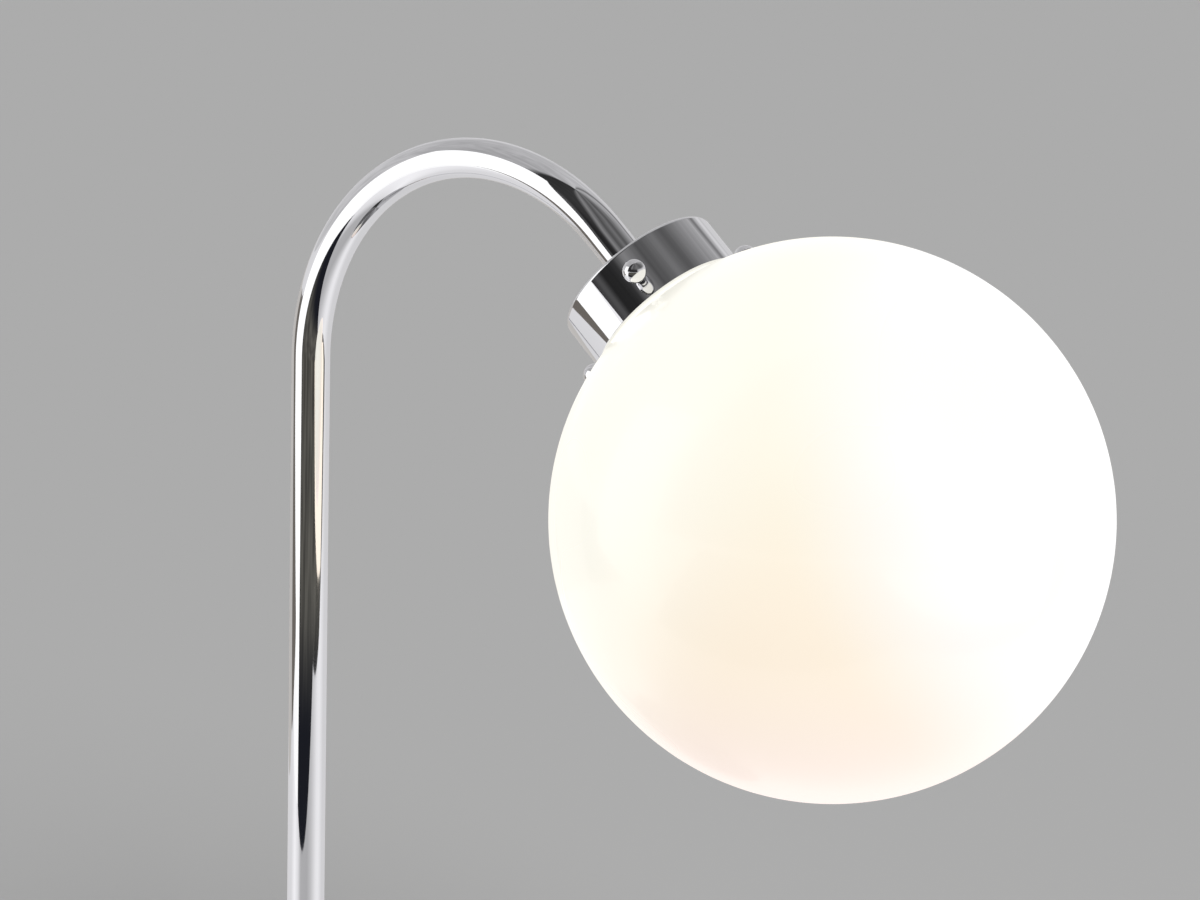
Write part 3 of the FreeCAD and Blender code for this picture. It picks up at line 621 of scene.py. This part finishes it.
_, lip_top, _ = reach("glass_globe", globe_centre, neck_axis)
lip_radius = max((place - globe_centre - neck_axis * lip_top).length
                 for place in vertices("glass_globe")
                 if abs((place - globe_centre).dot(neck_axis) - lip_top) < BROKEN)
fillet_x = NECK_RADIUS + NECK_FILLET
fillet_z = math.sqrt((GLOBE_RADIUS + NECK_FILLET) ** 2 - fillet_x ** 2)
ball_end = math.degrees(math.atan2(fillet_z, fillet_x))
inner_radius = GLOBE_RADIUS - GLASS
inner_neck = NECK_RADIUS - GLASS
inner_end = math.degrees(math.acos(inner_neck / inner_radius))
globe_outline = [
    (0, -GLOBE_RADIUS),
    *arc((0, 0), GLOBE_RADIUS, -NEAR_POLE, ball_end, 120),
    *arc((fillet_x, fillet_z), NECK_FILLET, 180 + ball_end, 180, 8)[1:],
    (NECK_RADIUS, lip_top - LIP_HEIGHT),
    *corner(lip_radius, lip_top - LIP_HEIGHT, BROKEN, -90),
    *corner(lip_radius, lip_top, BROKEN, 0),
    *corner(inner_neck, lip_top, BROKEN, 90),
    *arc((0, 0), inner_radius, inner_end, -NEAR_POLE, 90),
    (0, -inner_radius),
]
globe_mesh = settled(turned(globe_outline, globe_centre, neck_axis, GLOBE_STEPS))
show("globe", globe_mesh, "opal_glass", "lamp", "glass_globe")

# %% [markdown]
# ## The tube
#
# The stem and the arch are one steel tube, bent round a former and then plated. The shape follows
# a rule: a straight run, one arc, and a short straight tail. That makes it work for Geometry
# Nodes: three curves are joined into one line, the line is divided evenly, and a circle is swept
# along it. The tree has named inputs, so that the same tree bends any arch of this kind.
#
# The swept skin has no thickness. A Solidify modifier then grows the wall inwards.

# %% A tree for Geometry Nodes
def geometry_tree(name, inputs):
    """An empty Geometry Nodes tree, and a dictionary of its named inputs."""
    group = bpy.data.node_groups.new(name, "GeometryNodeTree")
    group.interface.new_socket("Geometry", in_out="OUTPUT", socket_type="NodeSocketGeometry")
    for label, kind in inputs.items():
        group.interface.new_socket(label, in_out="INPUT", socket_type=f"NodeSocket{kind}")
    tree = Nodes(group)
    first = tree.node("NodeGroupInput").socket.node
    return tree, {label: Value(tree, first.outputs[label]) for label in inputs}


def vector(tree, x, y, z):
    return tree.node("ShaderNodeCombineXYZ", {}, {"X": x, "Y": y, "Z": z})


def end_tree(tree, shape, material):
    """The last nodes of every tree: real geometry, with its material."""
    real = tree.node("GeometryNodeRealizeInstances", {}, {"Geometry": shape})
    painted = tree.node("GeometryNodeSetMaterial", {}, {"Geometry": real, "Material": material})
    tree.node("NodeGroupOutput", {}, {"Geometry": painted})
    print("the", tree.group.name, "tree has", len(tree.group.nodes), "nodes")


def grown(tree, settings):
    """Run a tree once with these settings, and keep the result as a plain mesh."""
    carrier = linked("carrier", bpy.data.meshes.new("carrier"))
    modifier = carrier.modifiers.new("shape", "NODES")
    modifier.node_group = tree.group
    for item in tree.group.interface.items_tree:
        if item.in_out == "INPUT":
            modifier[item.identifier] = settings[item.name]
    evaluated = carrier.evaluated_get(bpy.context.evaluated_depsgraph_get())
    mesh = bpy.data.meshes.new_from_object(evaluated)
    bpy.data.objects.remove(carrier)
    form = bmesh.new()
    form.from_mesh(mesh)
    bmesh.ops.recalc_face_normals(form, faces=form.faces)
    form.to_mesh(mesh)
    form.free()
    return mesh


# %% The tube's tree
ARC_POINTS = 200
SAME_PLACE = 0.00001

tube_tree, tube = geometry_tree("bent tube", {
    "Foot": "Vector", "Stem Length": "Float", "Arch Radius": "Float", "Arch Turn": "Float",
    "Tail Length": "Float", "Tube Radius": "Float", "Sides": "Int", "Step": "Float",
    "Material": "Material"})

sine = tube["Arch Turn"].sum("SINE", tube["Arch Turn"])
cosine = tube["Arch Turn"].sum("COSINE", tube["Arch Turn"])
stem_line = tube_tree.node("GeometryNodeCurvePrimitiveLine", {"mode": "POINTS"}, {
    "Start": (0, 0, 0), "End": vector(tube_tree, 0.0, 0.0, tube["Stem Length"])})
flat_arc = tube_tree.node("GeometryNodeCurveArc", {"mode": "RADIUS"}, {
    "Resolution": ARC_POINTS, "Radius": tube["Arch Radius"], "Start Angle": math.pi,
    "Sweep Angle": 0.0 - tube["Arch Turn"]})
arch_line = tube_tree.node("GeometryNodeTransform", {}, {
    "Geometry": flat_arc, "Rotation": (math.pi / 2, 0, 0),
    "Translation": vector(tube_tree, tube["Arch Radius"], 0.0, tube["Stem Length"])})
arch_end = vector(tube_tree, tube["Arch Radius"] * (1 - cosine), 0.0,
                  tube["Stem Length"] + tube["Arch Radius"] * sine)
tail_line = tube_tree.node("GeometryNodeCurvePrimitiveLine", {"mode": "DIRECTION"}, {
    "Start": arch_end, "Direction": vector(tube_tree, sine, 0.0, cosine),
    "Length": tube["Tail Length"]})
three_lines = tube_tree.node("GeometryNodeJoinGeometry", {}, {
    "Geometry": [stem_line, arch_line, tail_line]})
as_edges = tube_tree.node("GeometryNodeCurveToMesh", {}, {"Curve": three_lines})
one_chain = tube_tree.node("GeometryNodeMergeByDistance", {}, {
    "Geometry": as_edges, "Distance": SAME_PLACE})
one_line = tube_tree.node("GeometryNodeMeshToCurve", {}, {"Mesh": one_chain})
even_line = tube_tree.node("GeometryNodeResampleCurve", {"mode": "LENGTH"}, {
    "Curve": one_line, "Length": tube["Step"]})
section = tube_tree.node("GeometryNodeCurvePrimitiveCircle", {"mode": "RADIUS"}, {
    "Resolution": tube["Sides"], "Radius": tube["Tube Radius"]})
skin = tube_tree.node("GeometryNodeCurveToMesh", {}, {
    "Curve": even_line, "Profile Curve": section})
placed = tube_tree.node("GeometryNodeTransform", {}, {
    "Geometry": skin, "Translation": tube["Foot"]})
end_tree(tube_tree, placed, tube["Material"])

# %% The tube
ARCH_RADIUS = 0.0895
TUBE_WALL = 0.0012
TUBE_SIDES = 96
TUBE_STEP = 0.0015

tube_low, tube_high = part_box("arch_tube")
tube_radius = stem_foot.x - tube_low.x
arch_turn = math.acos(-neck_axis.z)
arch_foot = tube_high.z - tube_radius - ARCH_RADIUS
arch_stop = Vector((stem_foot.x + ARCH_RADIUS * (1 - math.cos(arch_turn)), 0,
                    arch_foot + ARCH_RADIUS * math.sin(arch_turn)))
tail_length = (arch_stop - globe_centre).length - cup_top
tube_skin = grown(tube_tree, {
    "Foot": (stem_foot.x, 0, tube_low.z), "Stem Length": arch_foot - tube_low.z,
    "Arch Radius": ARCH_RADIUS, "Arch Turn": arch_turn, "Tail Length": tail_length,
    "Tube Radius": tube_radius, "Sides": TUBE_SIDES, "Step": TUBE_STEP,
    "Material": FINISHES["polished_chrome"]})
tube_mesh = settled(tube_skin, {"SOLIDIFY": {"thickness": TUBE_WALL, "offset": -1}})
show("tube", tube_mesh, "polished_chrome", "lamp", "arch_tube")

# %% [markdown]
# ## The ball-headed screws
#
# Three equal screws stand round the cup, a third of a turn apart. The head is a polished ball that
# fingers can turn. Under the ball the rod is turned thinner, which leaves a small neck, and at its
# other end it has a blunt point that grips the glass. One tree makes the screw from a ball, two
# rods and a cone, melted into one with a boolean, and it is run three times with another direction.
# Each screw is its own piece, because each turns by itself.

# %% The screw's tree
SCREW_SIDES = 48
TIP_OVERLAP = 1.01

screw_tree, screw = geometry_tree("ball-headed screw", {
    "Ball Radius": "Float", "Ball Centre": "Float", "Neck Radius": "Float", "Neck Length": "Float",
    "Shank Radius": "Float", "Tip": "Float", "Point": "Float", "Place": "Vector",
    "Turn": "Rotation", "Material": "Material"})


def lifted(shape, height):
    return screw_tree.node("GeometryNodeTransform", {}, {
        "Geometry": shape, "Translation": vector(screw_tree, 0.0, 0.0, height)})


def rod(radius, low, high):
    length = high - low
    upright = screw_tree.node("GeometryNodeMeshCylinder", {}, {
        "Vertices": SCREW_SIDES, "Radius": radius, "Depth": length})
    return lifted(upright, low + length * 0.5)


ball_square = screw["Ball Radius"] * screw["Ball Radius"]
neck_square = screw["Neck Radius"] * screw["Neck Radius"]
ball_rest = (ball_square - neck_square).sum("SQRT", ball_square - neck_square)
shank_foot = screw["Tip"] + screw["Point"]
shank_top = screw["Ball Centre"] - ball_rest - screw["Neck Length"]
knob = screw_tree.node("GeometryNodeMeshUVSphere", {}, {
    "Segments": 64, "Rings": 48, "Radius": screw["Ball Radius"]})
tip = screw_tree.node("GeometryNodeMeshCone", {}, {
    "Vertices": SCREW_SIDES, "Radius Top": screw["Shank Radius"],
    "Radius Bottom": screw["Shank Radius"] - screw["Point"],
    "Depth": screw["Point"] * TIP_OVERLAP})
whole = screw_tree.node("GeometryNodeMeshBoolean", {"operation": "UNION", "solver": "EXACT"}, {
    "Mesh 2": [lifted(knob, screw["Ball Centre"]),
               rod(screw["Neck Radius"], shank_foot, screw["Ball Centre"]),
               rod(screw["Shank Radius"], shank_foot, shank_top),
               lifted(tip, screw["Tip"])]})
screw_placed = screw_tree.node("GeometryNodeTransform", {}, {
    "Geometry": whole, "Translation": screw["Place"], "Rotation": screw["Turn"]})
end_tree(screw_tree, screw_placed, screw["Material"])

# %% The three screws
SHANK_RADIUS = 0.0020
SCREW_NECK_RADIUS = 0.00155
SCREW_NECK_LENGTH = 0.0017
POINT = 0.0008

for number in (1, 2, 3):
    node = f"ball_screw_{number}"
    outward = Vector(next(joint for joint in frame["joints"]
                          if joint["child"] == f"screw_{number}")["axis"])
    screw_height = (middle(node) - globe_centre).dot(neck_axis)
    start = globe_centre + neck_axis * screw_height
    tip_place, ball_top, ball_radius = reach(node, start, outward)
    screw_mesh = settled(grown(screw_tree, {
        "Ball Radius": ball_radius, "Ball Centre": ball_top - ball_radius,
        "Neck Radius": SCREW_NECK_RADIUS, "Neck Length": SCREW_NECK_LENGTH,
        "Shank Radius": SHANK_RADIUS, "Tip": tip_place, "Point": POINT, "Place": tuple(start),
        "Turn": tuple(outward.to_track_quat("Z", "Y").to_euler()),
        "Material": FINISHES["polished_chrome"]}))
    show(f"screw_{number}", screw_mesh, "polished_chrome", f"screw_{number}", node)

# %% [markdown]
# ## The foot
#
# The cover is spun from thin sheet over a cast weight, so it is one skin: a flat top, a rounded
# shoulder and an upright wall, open below. The cable comes in through a hole low in the back, and
# that hole is cut with a boolean, because the rubber bush in it is open and one can look through.
# The other holes lie under the collar and the switch, and are left out.

# %% The foot's cover
COVER_SHEET = 0.0012
COVER_EDGE = 0.004
INLET_HOLE = 0.0045
INLET_MARGIN = 0.001
DRILL_LENGTH = 0.02
COVER_STEPS = 256

cover_foot, cover_top, cover_radius = reach("base_cover", Vector(), UP)
inlet = middle("cable_inlet_bush")
inner_edge = COVER_EDGE - COVER_SHEET
cover_outline = [
    (cover_radius - COVER_SHEET, cover_foot),
    (cover_radius, cover_foot),
    (cover_radius, inlet.z - INLET_HOLE - INLET_MARGIN),
    (cover_radius, inlet.z + INLET_HOLE + INLET_MARGIN),
    *corner(cover_radius, cover_top, COVER_EDGE, 0, 16),
    (0, cover_top),
    (0, cover_top - COVER_SHEET),
    *arc((cover_radius - COVER_EDGE, cover_top - COVER_EDGE), inner_edge, 90, 0, 8),
]
cover_rough = turned(cover_outline, Vector(), UP, COVER_STEPS)
drill_mesh = bpy.data.meshes.new("drill")
drill_form = bmesh.new()
bmesh.ops.create_cone(drill_form, cap_ends=True, segments=64, radius1=INLET_HOLE,
                      radius2=INLET_HOLE, depth=DRILL_LENGTH)
drill_form.transform(Matrix.Translation((-cover_radius, 0, inlet.z))
                     @ Matrix.Rotation(math.pi / 2, 4, "Y"))
drill_form.to_mesh(drill_mesh)
drill_form.free()
drill = bpy.data.objects.new("drill", drill_mesh)
cover_mesh = settled(cover_rough, {"BOOLEAN": {"object": drill, "solver": "EXACT"}})
bpy.data.objects.remove(drill)
show("foot_cover", cover_mesh, "polished_chrome", "lamp", "base_cover")

# %% [markdown]
# ## The foot's fittings
#
# A collar hides the joint of tube and cover. The switch is a push button in a turned bezel, and the
# cable's way in is a rubber bush with a flange. All are small lathe pieces with broken edges: at
# this size, the highlight on an edge is most of what one sees.

# %% The collar
COLLAR_ROUND = 0.004
SMALL_ROUND = 0.001
FITTING_STEPS = 128
SMALL_STEPS = 96

_, collar_top, collar_radius = reach("stem_collar", stem_foot, UP)
collar_outline = [
    (tube_radius, cover_top),
    (collar_radius - BROKEN, cover_top),
    (collar_radius, cover_top + BROKEN),
    *corner(collar_radius, collar_top, COLLAR_ROUND, 0, 12),
    *corner(tube_radius, collar_top, BROKEN, 90),
]
collar_mesh = settled(turned(collar_outline, stem_foot, UP, FITTING_STEPS))
show("collar", collar_mesh, "polished_chrome", "lamp", "stem_collar")

# %% The push button
BUTTON_STEM = 0.0025
BUTTON_HEAD = 0.0038
FINGER_RIM = 0.0025
FINGER_SLOPE = 0.0005
FINGER_DIP = 0.0006

button_foot, button_top, button_radius = reach("switch_button", switch_foot, UP)
button_rim = button_top - BUTTON_HEAD
button_outline = [
    (0, button_foot),
    (BUTTON_STEM, button_foot),
    (BUTTON_STEM, button_rim),
    (button_radius - BROKEN, button_rim),
    (button_radius, button_rim + BROKEN),
    *corner(button_radius, button_top, SMALL_ROUND, 0, 8),
    (button_radius - FINGER_RIM, button_top),
    (button_radius - FINGER_RIM - FINGER_SLOPE, button_top - FINGER_DIP / 2),
    (0, button_top - FINGER_DIP),
]
button_mesh = settled(turned(button_outline, switch_foot, UP, SMALL_STEPS))
show("button", button_mesh, "polished_chrome", "button", "switch_button")

# %% The bezel round it
BUTTON_GAP = 0.0004
BORE_LIFT = 0.0001

_, bezel_top, bezel_radius = reach("switch_bezel", switch_foot, UP)
bezel_bore = button_radius + BUTTON_GAP
bezel_outline = [
    (bezel_bore, cover_top + BORE_LIFT),
    (bezel_radius - BROKEN, cover_top),
    (bezel_radius, cover_top + BROKEN),
    *corner(bezel_radius, bezel_top, SMALL_ROUND, 0, 8),
    *corner(bezel_bore, bezel_top, BROKEN, 90),
]
bezel_mesh = settled(turned(bezel_outline, switch_foot, UP, FITTING_STEPS))
show("bezel", bezel_mesh, "polished_chrome", "lamp", "switch_bezel")

# %% The cable's bush
OUT_BACK = Vector((-1, 0, 0))
BUSH_BORE = 0.00325
FLANGE_DEPTH = 0.002
FLANGE_ROUND = 0.0012
BORE_ROUND = 0.0006

bush_start = Vector((-cover_radius, 0, inlet.z))
bush_inside, bush_outside, flange_radius = reach("cable_inlet_bush", bush_start, OUT_BACK)
bush_outline = [
    (BUSH_BORE, bush_inside),
    (flange_radius, bush_inside),
    (flange_radius, bush_inside + FLANGE_DEPTH),
    (INLET_HOLE, bush_inside + FLANGE_DEPTH),
    (INLET_HOLE, 0),
    (flange_radius, 0),
    *corner(flange_radius, bush_outside, FLANGE_ROUND, 0, 6),
    *corner(BUSH_BORE, bush_outside, BORE_ROUND, 90, 4),
]
bush_mesh = settled(turned(bush_outline, bush_start, OUT_BACK, SMALL_STEPS))
show("inlet_bush", bush_mesh, "black_rubber", "lamp", "cable_inlet_bush")

# %% [markdown]
# ## The switch's spring
#
# Under the button sits a small coil spring, which gets shorter as the button goes down. A coil is a
# line that follows a rule, so a tree draws it: a spiral, with a round wire swept along it. A solid
# on a body can't shorten, and the button would go through it. This piece is given its own copy of
# its mesh.

# %% The spring
SPRING_WIRE = 0.0002
SPRING_TURNS = 4.0

spring_tree, spring = geometry_tree("coil spring", {
    "Turns": "Float", "Coil Radius": "Float", "Rise": "Float", "Wire Radius": "Float",
    "Foot": "Vector", "Material": "Material"})
coil = spring_tree.node("GeometryNodeCurveSpiral", {}, {
    "Resolution": 32, "Rotations": spring["Turns"], "Start Radius": spring["Coil Radius"],
    "End Radius": spring["Coil Radius"], "Height": spring["Rise"]})
wire_section = spring_tree.node("GeometryNodeCurvePrimitiveCircle", {"mode": "RADIUS"}, {
    "Resolution": 12, "Radius": spring["Wire Radius"]})
wire = spring_tree.node("GeometryNodeCurveToMesh", {}, {
    "Curve": coil, "Profile Curve": wire_section, "Fill Caps": True})
end_tree(spring_tree, spring_tree.node("GeometryNodeTransform", {}, {
    "Geometry": wire, "Translation": spring["Foot"]}), spring["Material"])

spring_low, spring_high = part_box("switch_spring")
spring_length = spring_high.z - spring_low.z
spring_mesh = settled(grown(spring_tree, {
    "Turns": SPRING_TURNS, "Coil Radius": (spring_high.y - spring_low.y) / 2 - SPRING_WIRE,
    "Rise": spring_length - 2 * SPRING_WIRE, "Wire Radius": SPRING_WIRE,
    "Foot": (switch_foot.x, switch_foot.y, spring_low.z + SPRING_WIRE),
    "Material": FINISHES["spring_steel"]}))
spring_piece = show("spring", spring_mesh, "spring_steel", "lamp", "switch_spring")
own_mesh(spring_piece)

# %% [markdown]
# ## The studio
#
# Chrome has no colour of its own. It shows the room, so the room decides how it looks. A plain
# room makes chrome look like grey paint, and what makes it shine is a bright shape with a hard
# edge next to something dark. So a few cards that only mirrors can see stand and lie round the
# lamp: a tall white one at the left front with its own shine on the floor, a dark one on the floor
# where a real table would end, a grey and a brown one at the left, a cream one for a sunlit floor
# at the right, and a narrow one for the table's edge. The room above is light behind the lamp and
# dark behind the camera, with streaks for its shelves and lamps.
#
# The light that falls on the lamp is kept apart from what mirrors see: an even sky and one broad,
# soft sun. The floor that the camera sees is plain and pale.

# %% Stage helpers
def glow(name, colour, strength=1.0):
    """A flat light colour for a card."""
    finish = Finish(name)
    return finish.ends_in(finish.emission((*colour, 1), strength))


def flat(name, corners, material):
    """One flat face, from its corners."""
    mesh = bpy.data.meshes.new(name)
    mesh.from_pydata(corners, [], [list(range(len(corners)))])
    mesh.materials.append(material)
    print(name, "has", len(corners), "corners")
    return linked(name, mesh)


def card(name, corners, material):
    """A flat card that only mirrors see."""
    piece = flat(name, corners, material)
    piece.visible_camera = False
    piece.visible_diffuse = False
    piece.visible_transmission = False
    piece.visible_shadow = False


# %% Places seen in a mirror
LILAC = (1.0, 0.993, 1.012)


def by_heading(tree, direction, stops):
    """A grey for each level direction, from (degrees from the X axis, grey) stops."""
    across = tree.node("ShaderNodeSeparateXYZ", {}, {"Vector": direction}, "X")
    forward = tree.node("ShaderNodeSeparateXYZ", {}, {"Vector": direction}, "Y")
    turn = forward.sum("ARCTAN2", forward, across)
    return tree.node("ShaderNodeValToRGB", {"stops": [
        ((degrees + 180) / 360, [grey * tint for tint in LILAC]) for degrees, grey in stops]},
        {"Fac": turn / math.tau + 0.5})


def from_stem(tree):
    return tree.node("ShaderNodeVectorMath", {"operation": "SUBTRACT"},
                     {0: tree.place(), 1: stem_foot})


# %% Floor
FLOOR_GREY = (0.487, 0.487, 0.487)
FLOOR_GRAIN = 0.004
FLOOR_CHANGE = 1.004
FLOOR_HALF = 30.0
# The table that mirrors see on the floor: a grey for each heading round the stem, with painted highlights where
# the softbox and a light at the back right shine in its gloss.
TABLE_WITH_SHEEN = [(-180, 0.75), (-150, 0.78), (-121, 1.0), (-97, 0.80), (-80, 0.47), (-42, 0.45),
         (-20, 0.58), (13, 0.88), (30, 0.92), (62, 0.72), (125, 0.67), (180, 0.75)]

floor_finish = Finish("floor")
matt = floor_finish.node("ShaderNodeBsdfDiffuse", {}, {
    "Color": floor_finish.mix(floor_finish.noise(FLOOR_GRAIN), FLOOR_GREY,
                              [grey * FLOOR_CHANGE for grey in FLOOR_GREY])})
# The floor as mirrors see it: the table's grey with its painted highlights.
mirrored_table_with_sheen = floor_finish.emission(
    by_heading(floor_finish, from_stem(floor_finish), TABLE_WITH_SHEEN))
floor_look = floor_finish.node("ShaderNodeMixShader", {}, {
    0: floor_finish.node("ShaderNodeLightPath", output="Is Glossy Ray"),
    1: matt, 2: mirrored_table_with_sheen})
floor = flat("floor", [(-FLOOR_HALF, -FLOOR_HALF, 0), (FLOOR_HALF, -FLOOR_HALF, 0),
                       (FLOOR_HALF, FLOOR_HALF, 0), (-FLOOR_HALF, FLOOR_HALF, 0)],
             floor_finish.ends_in(floor_look))

# %% The white card
SOFTBOX_RIGHT = Vector((-0.189, -0.600, 0))
SOFTBOX_LEFT = Vector((-0.781, -0.425, 0))
SOFTBOX_TOP = 0.90
SOFTBOX_LIFT = 0.13
SOFTBOX_LIGHT = 1.25
SHINE_LIGHT = 1.1
LAYER_HEIGHT = 0.001
WHITE = (1.0, 1.0, 1.0)

card("softbox", [SOFTBOX_LEFT + UP * SOFTBOX_LIFT, SOFTBOX_RIGHT, SOFTBOX_RIGHT + UP * SOFTBOX_TOP,
                 SOFTBOX_LEFT + UP * SOFTBOX_TOP], glow("softbox", WHITE, SOFTBOX_LIGHT))


def flat_card(name, layer, material, *places):
    """A card that lies on the floor. A higher layer covers a lower one."""
    card(name, [Vector((x, y, layer * LAYER_HEIGHT)) for x, y in places], material)


flat_card("softbox_shine", 1, glow("softbox_shine", WHITE, SHINE_LIGHT),
          (-0.164, -0.495), (-0.24, -0.80), (-0.62, -0.66), (-0.585, -0.45), (-0.434, -0.42))

# %% What lies beyond the table
NEAR_DARK, FAR_DARK = 0.62, 0.95

dark = Finish("beyond_table")
how_far = dark.node("ShaderNodeVectorMath", {"operation": "LENGTH"}, {0: from_stem(dark)}, "Value")
far_floor = dark.mix(dark.between(dark.noise(0.30, 3), 0.35, 0.7),
                     (0.060, 0.058, 0.052), (0.125, 0.120, 0.106))
dark_floor = dark.mix(dark.between(how_far, NEAR_DARK, FAR_DARK), (0.012, 0.013, 0.018), far_floor)

flat_card("beyond_table", 1, dark.ends_in(dark.emission(dark_floor)), (-0.164, -0.495),
          (-1.30, -5.20), (5.0, -5.0), (5.0, 3.0), (0.719, 0.324), (0.689, -0.222))
flat_card("beyond_left", 2, glow("beyond_left", (0.55, 0.53, 0.51)),
          (-0.53, 0.9), (-0.60, -0.10), (-0.64, -0.22), (-4.0, -0.45), (-4.0, 3.0))
flat_card("brown_floor", 3, glow("brown_floor", (0.16, 0.145, 0.13)),
          (-0.585, -0.45), (-0.56, -0.62), (-0.70, -0.95), (-1.8, -1.6), (-4.0, -0.45),
          (-0.64, -0.22), (-0.605, -0.28))
flat_card("cream_floor", 3, glow("cream_floor", (1.22, 1.09, 0.93)),
          (0.868, 0.262), (0.915, 0.060), (1.045, -0.265), (1.340, -0.585), (3.4, -2.3),
          (3.1, 2.6), (1.190, 0.850), (0.925, 0.575), (0.819, 0.445))
flat_card("table_edge", 2, glow("table_edge", (0.10, 0.095, 0.09)),
          (0.719, 0.324), (0.830, 0.400), (0.925, 0.540), (1.190, 0.800), (3.1, 2.5), (2.8, 2.9),
          (1.042, 1.080), (0.930, 0.830), (0.835, 0.680), (0.775, 0.484))

# %% World
SKY = 0.55
BACKDROP = (0.418, 0.418, 0.418)
WALLS = [(-180, 0.59), (-124, 0.50), (-119, 0.02), (-112, 0.09), (-107, 0.02), (-28, 0.035),
         (-16, 0.50), (0, 0.68), (130, 0.64), (180, 0.59)]
CEILING = [(-180, 0.46), (-124, 0.42), (-118, 0.03), (-94, 0.04), (-84, 0.22), (-66, 0.09),
           (-24, 0.17), (20, 0.10), (60, 0.20), (86, 0.44), (92, 0.14), (98, 0.54), (180, 0.46)]
WALLS_END, CEILING_START = 0.30, 0.56
EVEN_SHARE, UPRIGHT_SHARE, LEVEL_SHARE = 0.45, 0.5, 0.6


class Sky(Patterns):
    """The world's tree, where a pattern is made from the direction one looks in."""

    WHERE = "Generated"


world = bpy.data.worlds.new("studio")
world.use_nodes = True
bpy.context.scene.world = world
sky = Sky(world.node_tree)
elevation = sky.node("ShaderNodeSeparateXYZ", {}, {"Vector": sky.place()}, "Z")
room = sky.mix(sky.between(elevation, WALLS_END, CEILING_START),
               by_heading(sky, sky.place(), WALLS), by_heading(sky, sky.place(), CEILING))
upright_streaks = sky.noise(0.12, 3, (1, 1, 0.12))
level_streaks = sky.noise(0.06, 4, (0.2, 0.2, 1))
brightness = EVEN_SHARE + upright_streaks * UPRIGHT_SHARE + level_streaks * LEVEL_SHARE
room = sky.node("ShaderNodeVectorMath", {"operation": "SCALE"}, {0: room, "Scale": brightness})
lit = sky.mix(sky.node("ShaderNodeLightPath", output="Is Camera Ray"), (SKY, SKY, SKY), BACKDROP)
seen = sky.mix(sky.node("ShaderNodeLightPath", output="Is Glossy Ray"), lit, room)
sky.node("ShaderNodeOutputWorld", {}, {
    "Surface": sky.node("ShaderNodeBackground", {}, {"Color": seen, "Strength": 1.0})})
print("the world's tree has", len(sky.group.nodes), "nodes")

# %% Sun
SUN = 1.5
SUN_FROM = Vector((0.75, -0.25, 0.62))
SUN_WIDTH = math.radians(30)

sun_light = bpy.data.lights.new("sun", "SUN")
sun_light.energy = SUN
sun_light.angle = SUN_WIDTH
sun = linked("sun", sun_light)
sun.rotation_euler = SUN_FROM.to_track_quat("Z", "Y").to_euler()
sun.visible_glossy = False
print("the sun shines from", SUN_FROM)
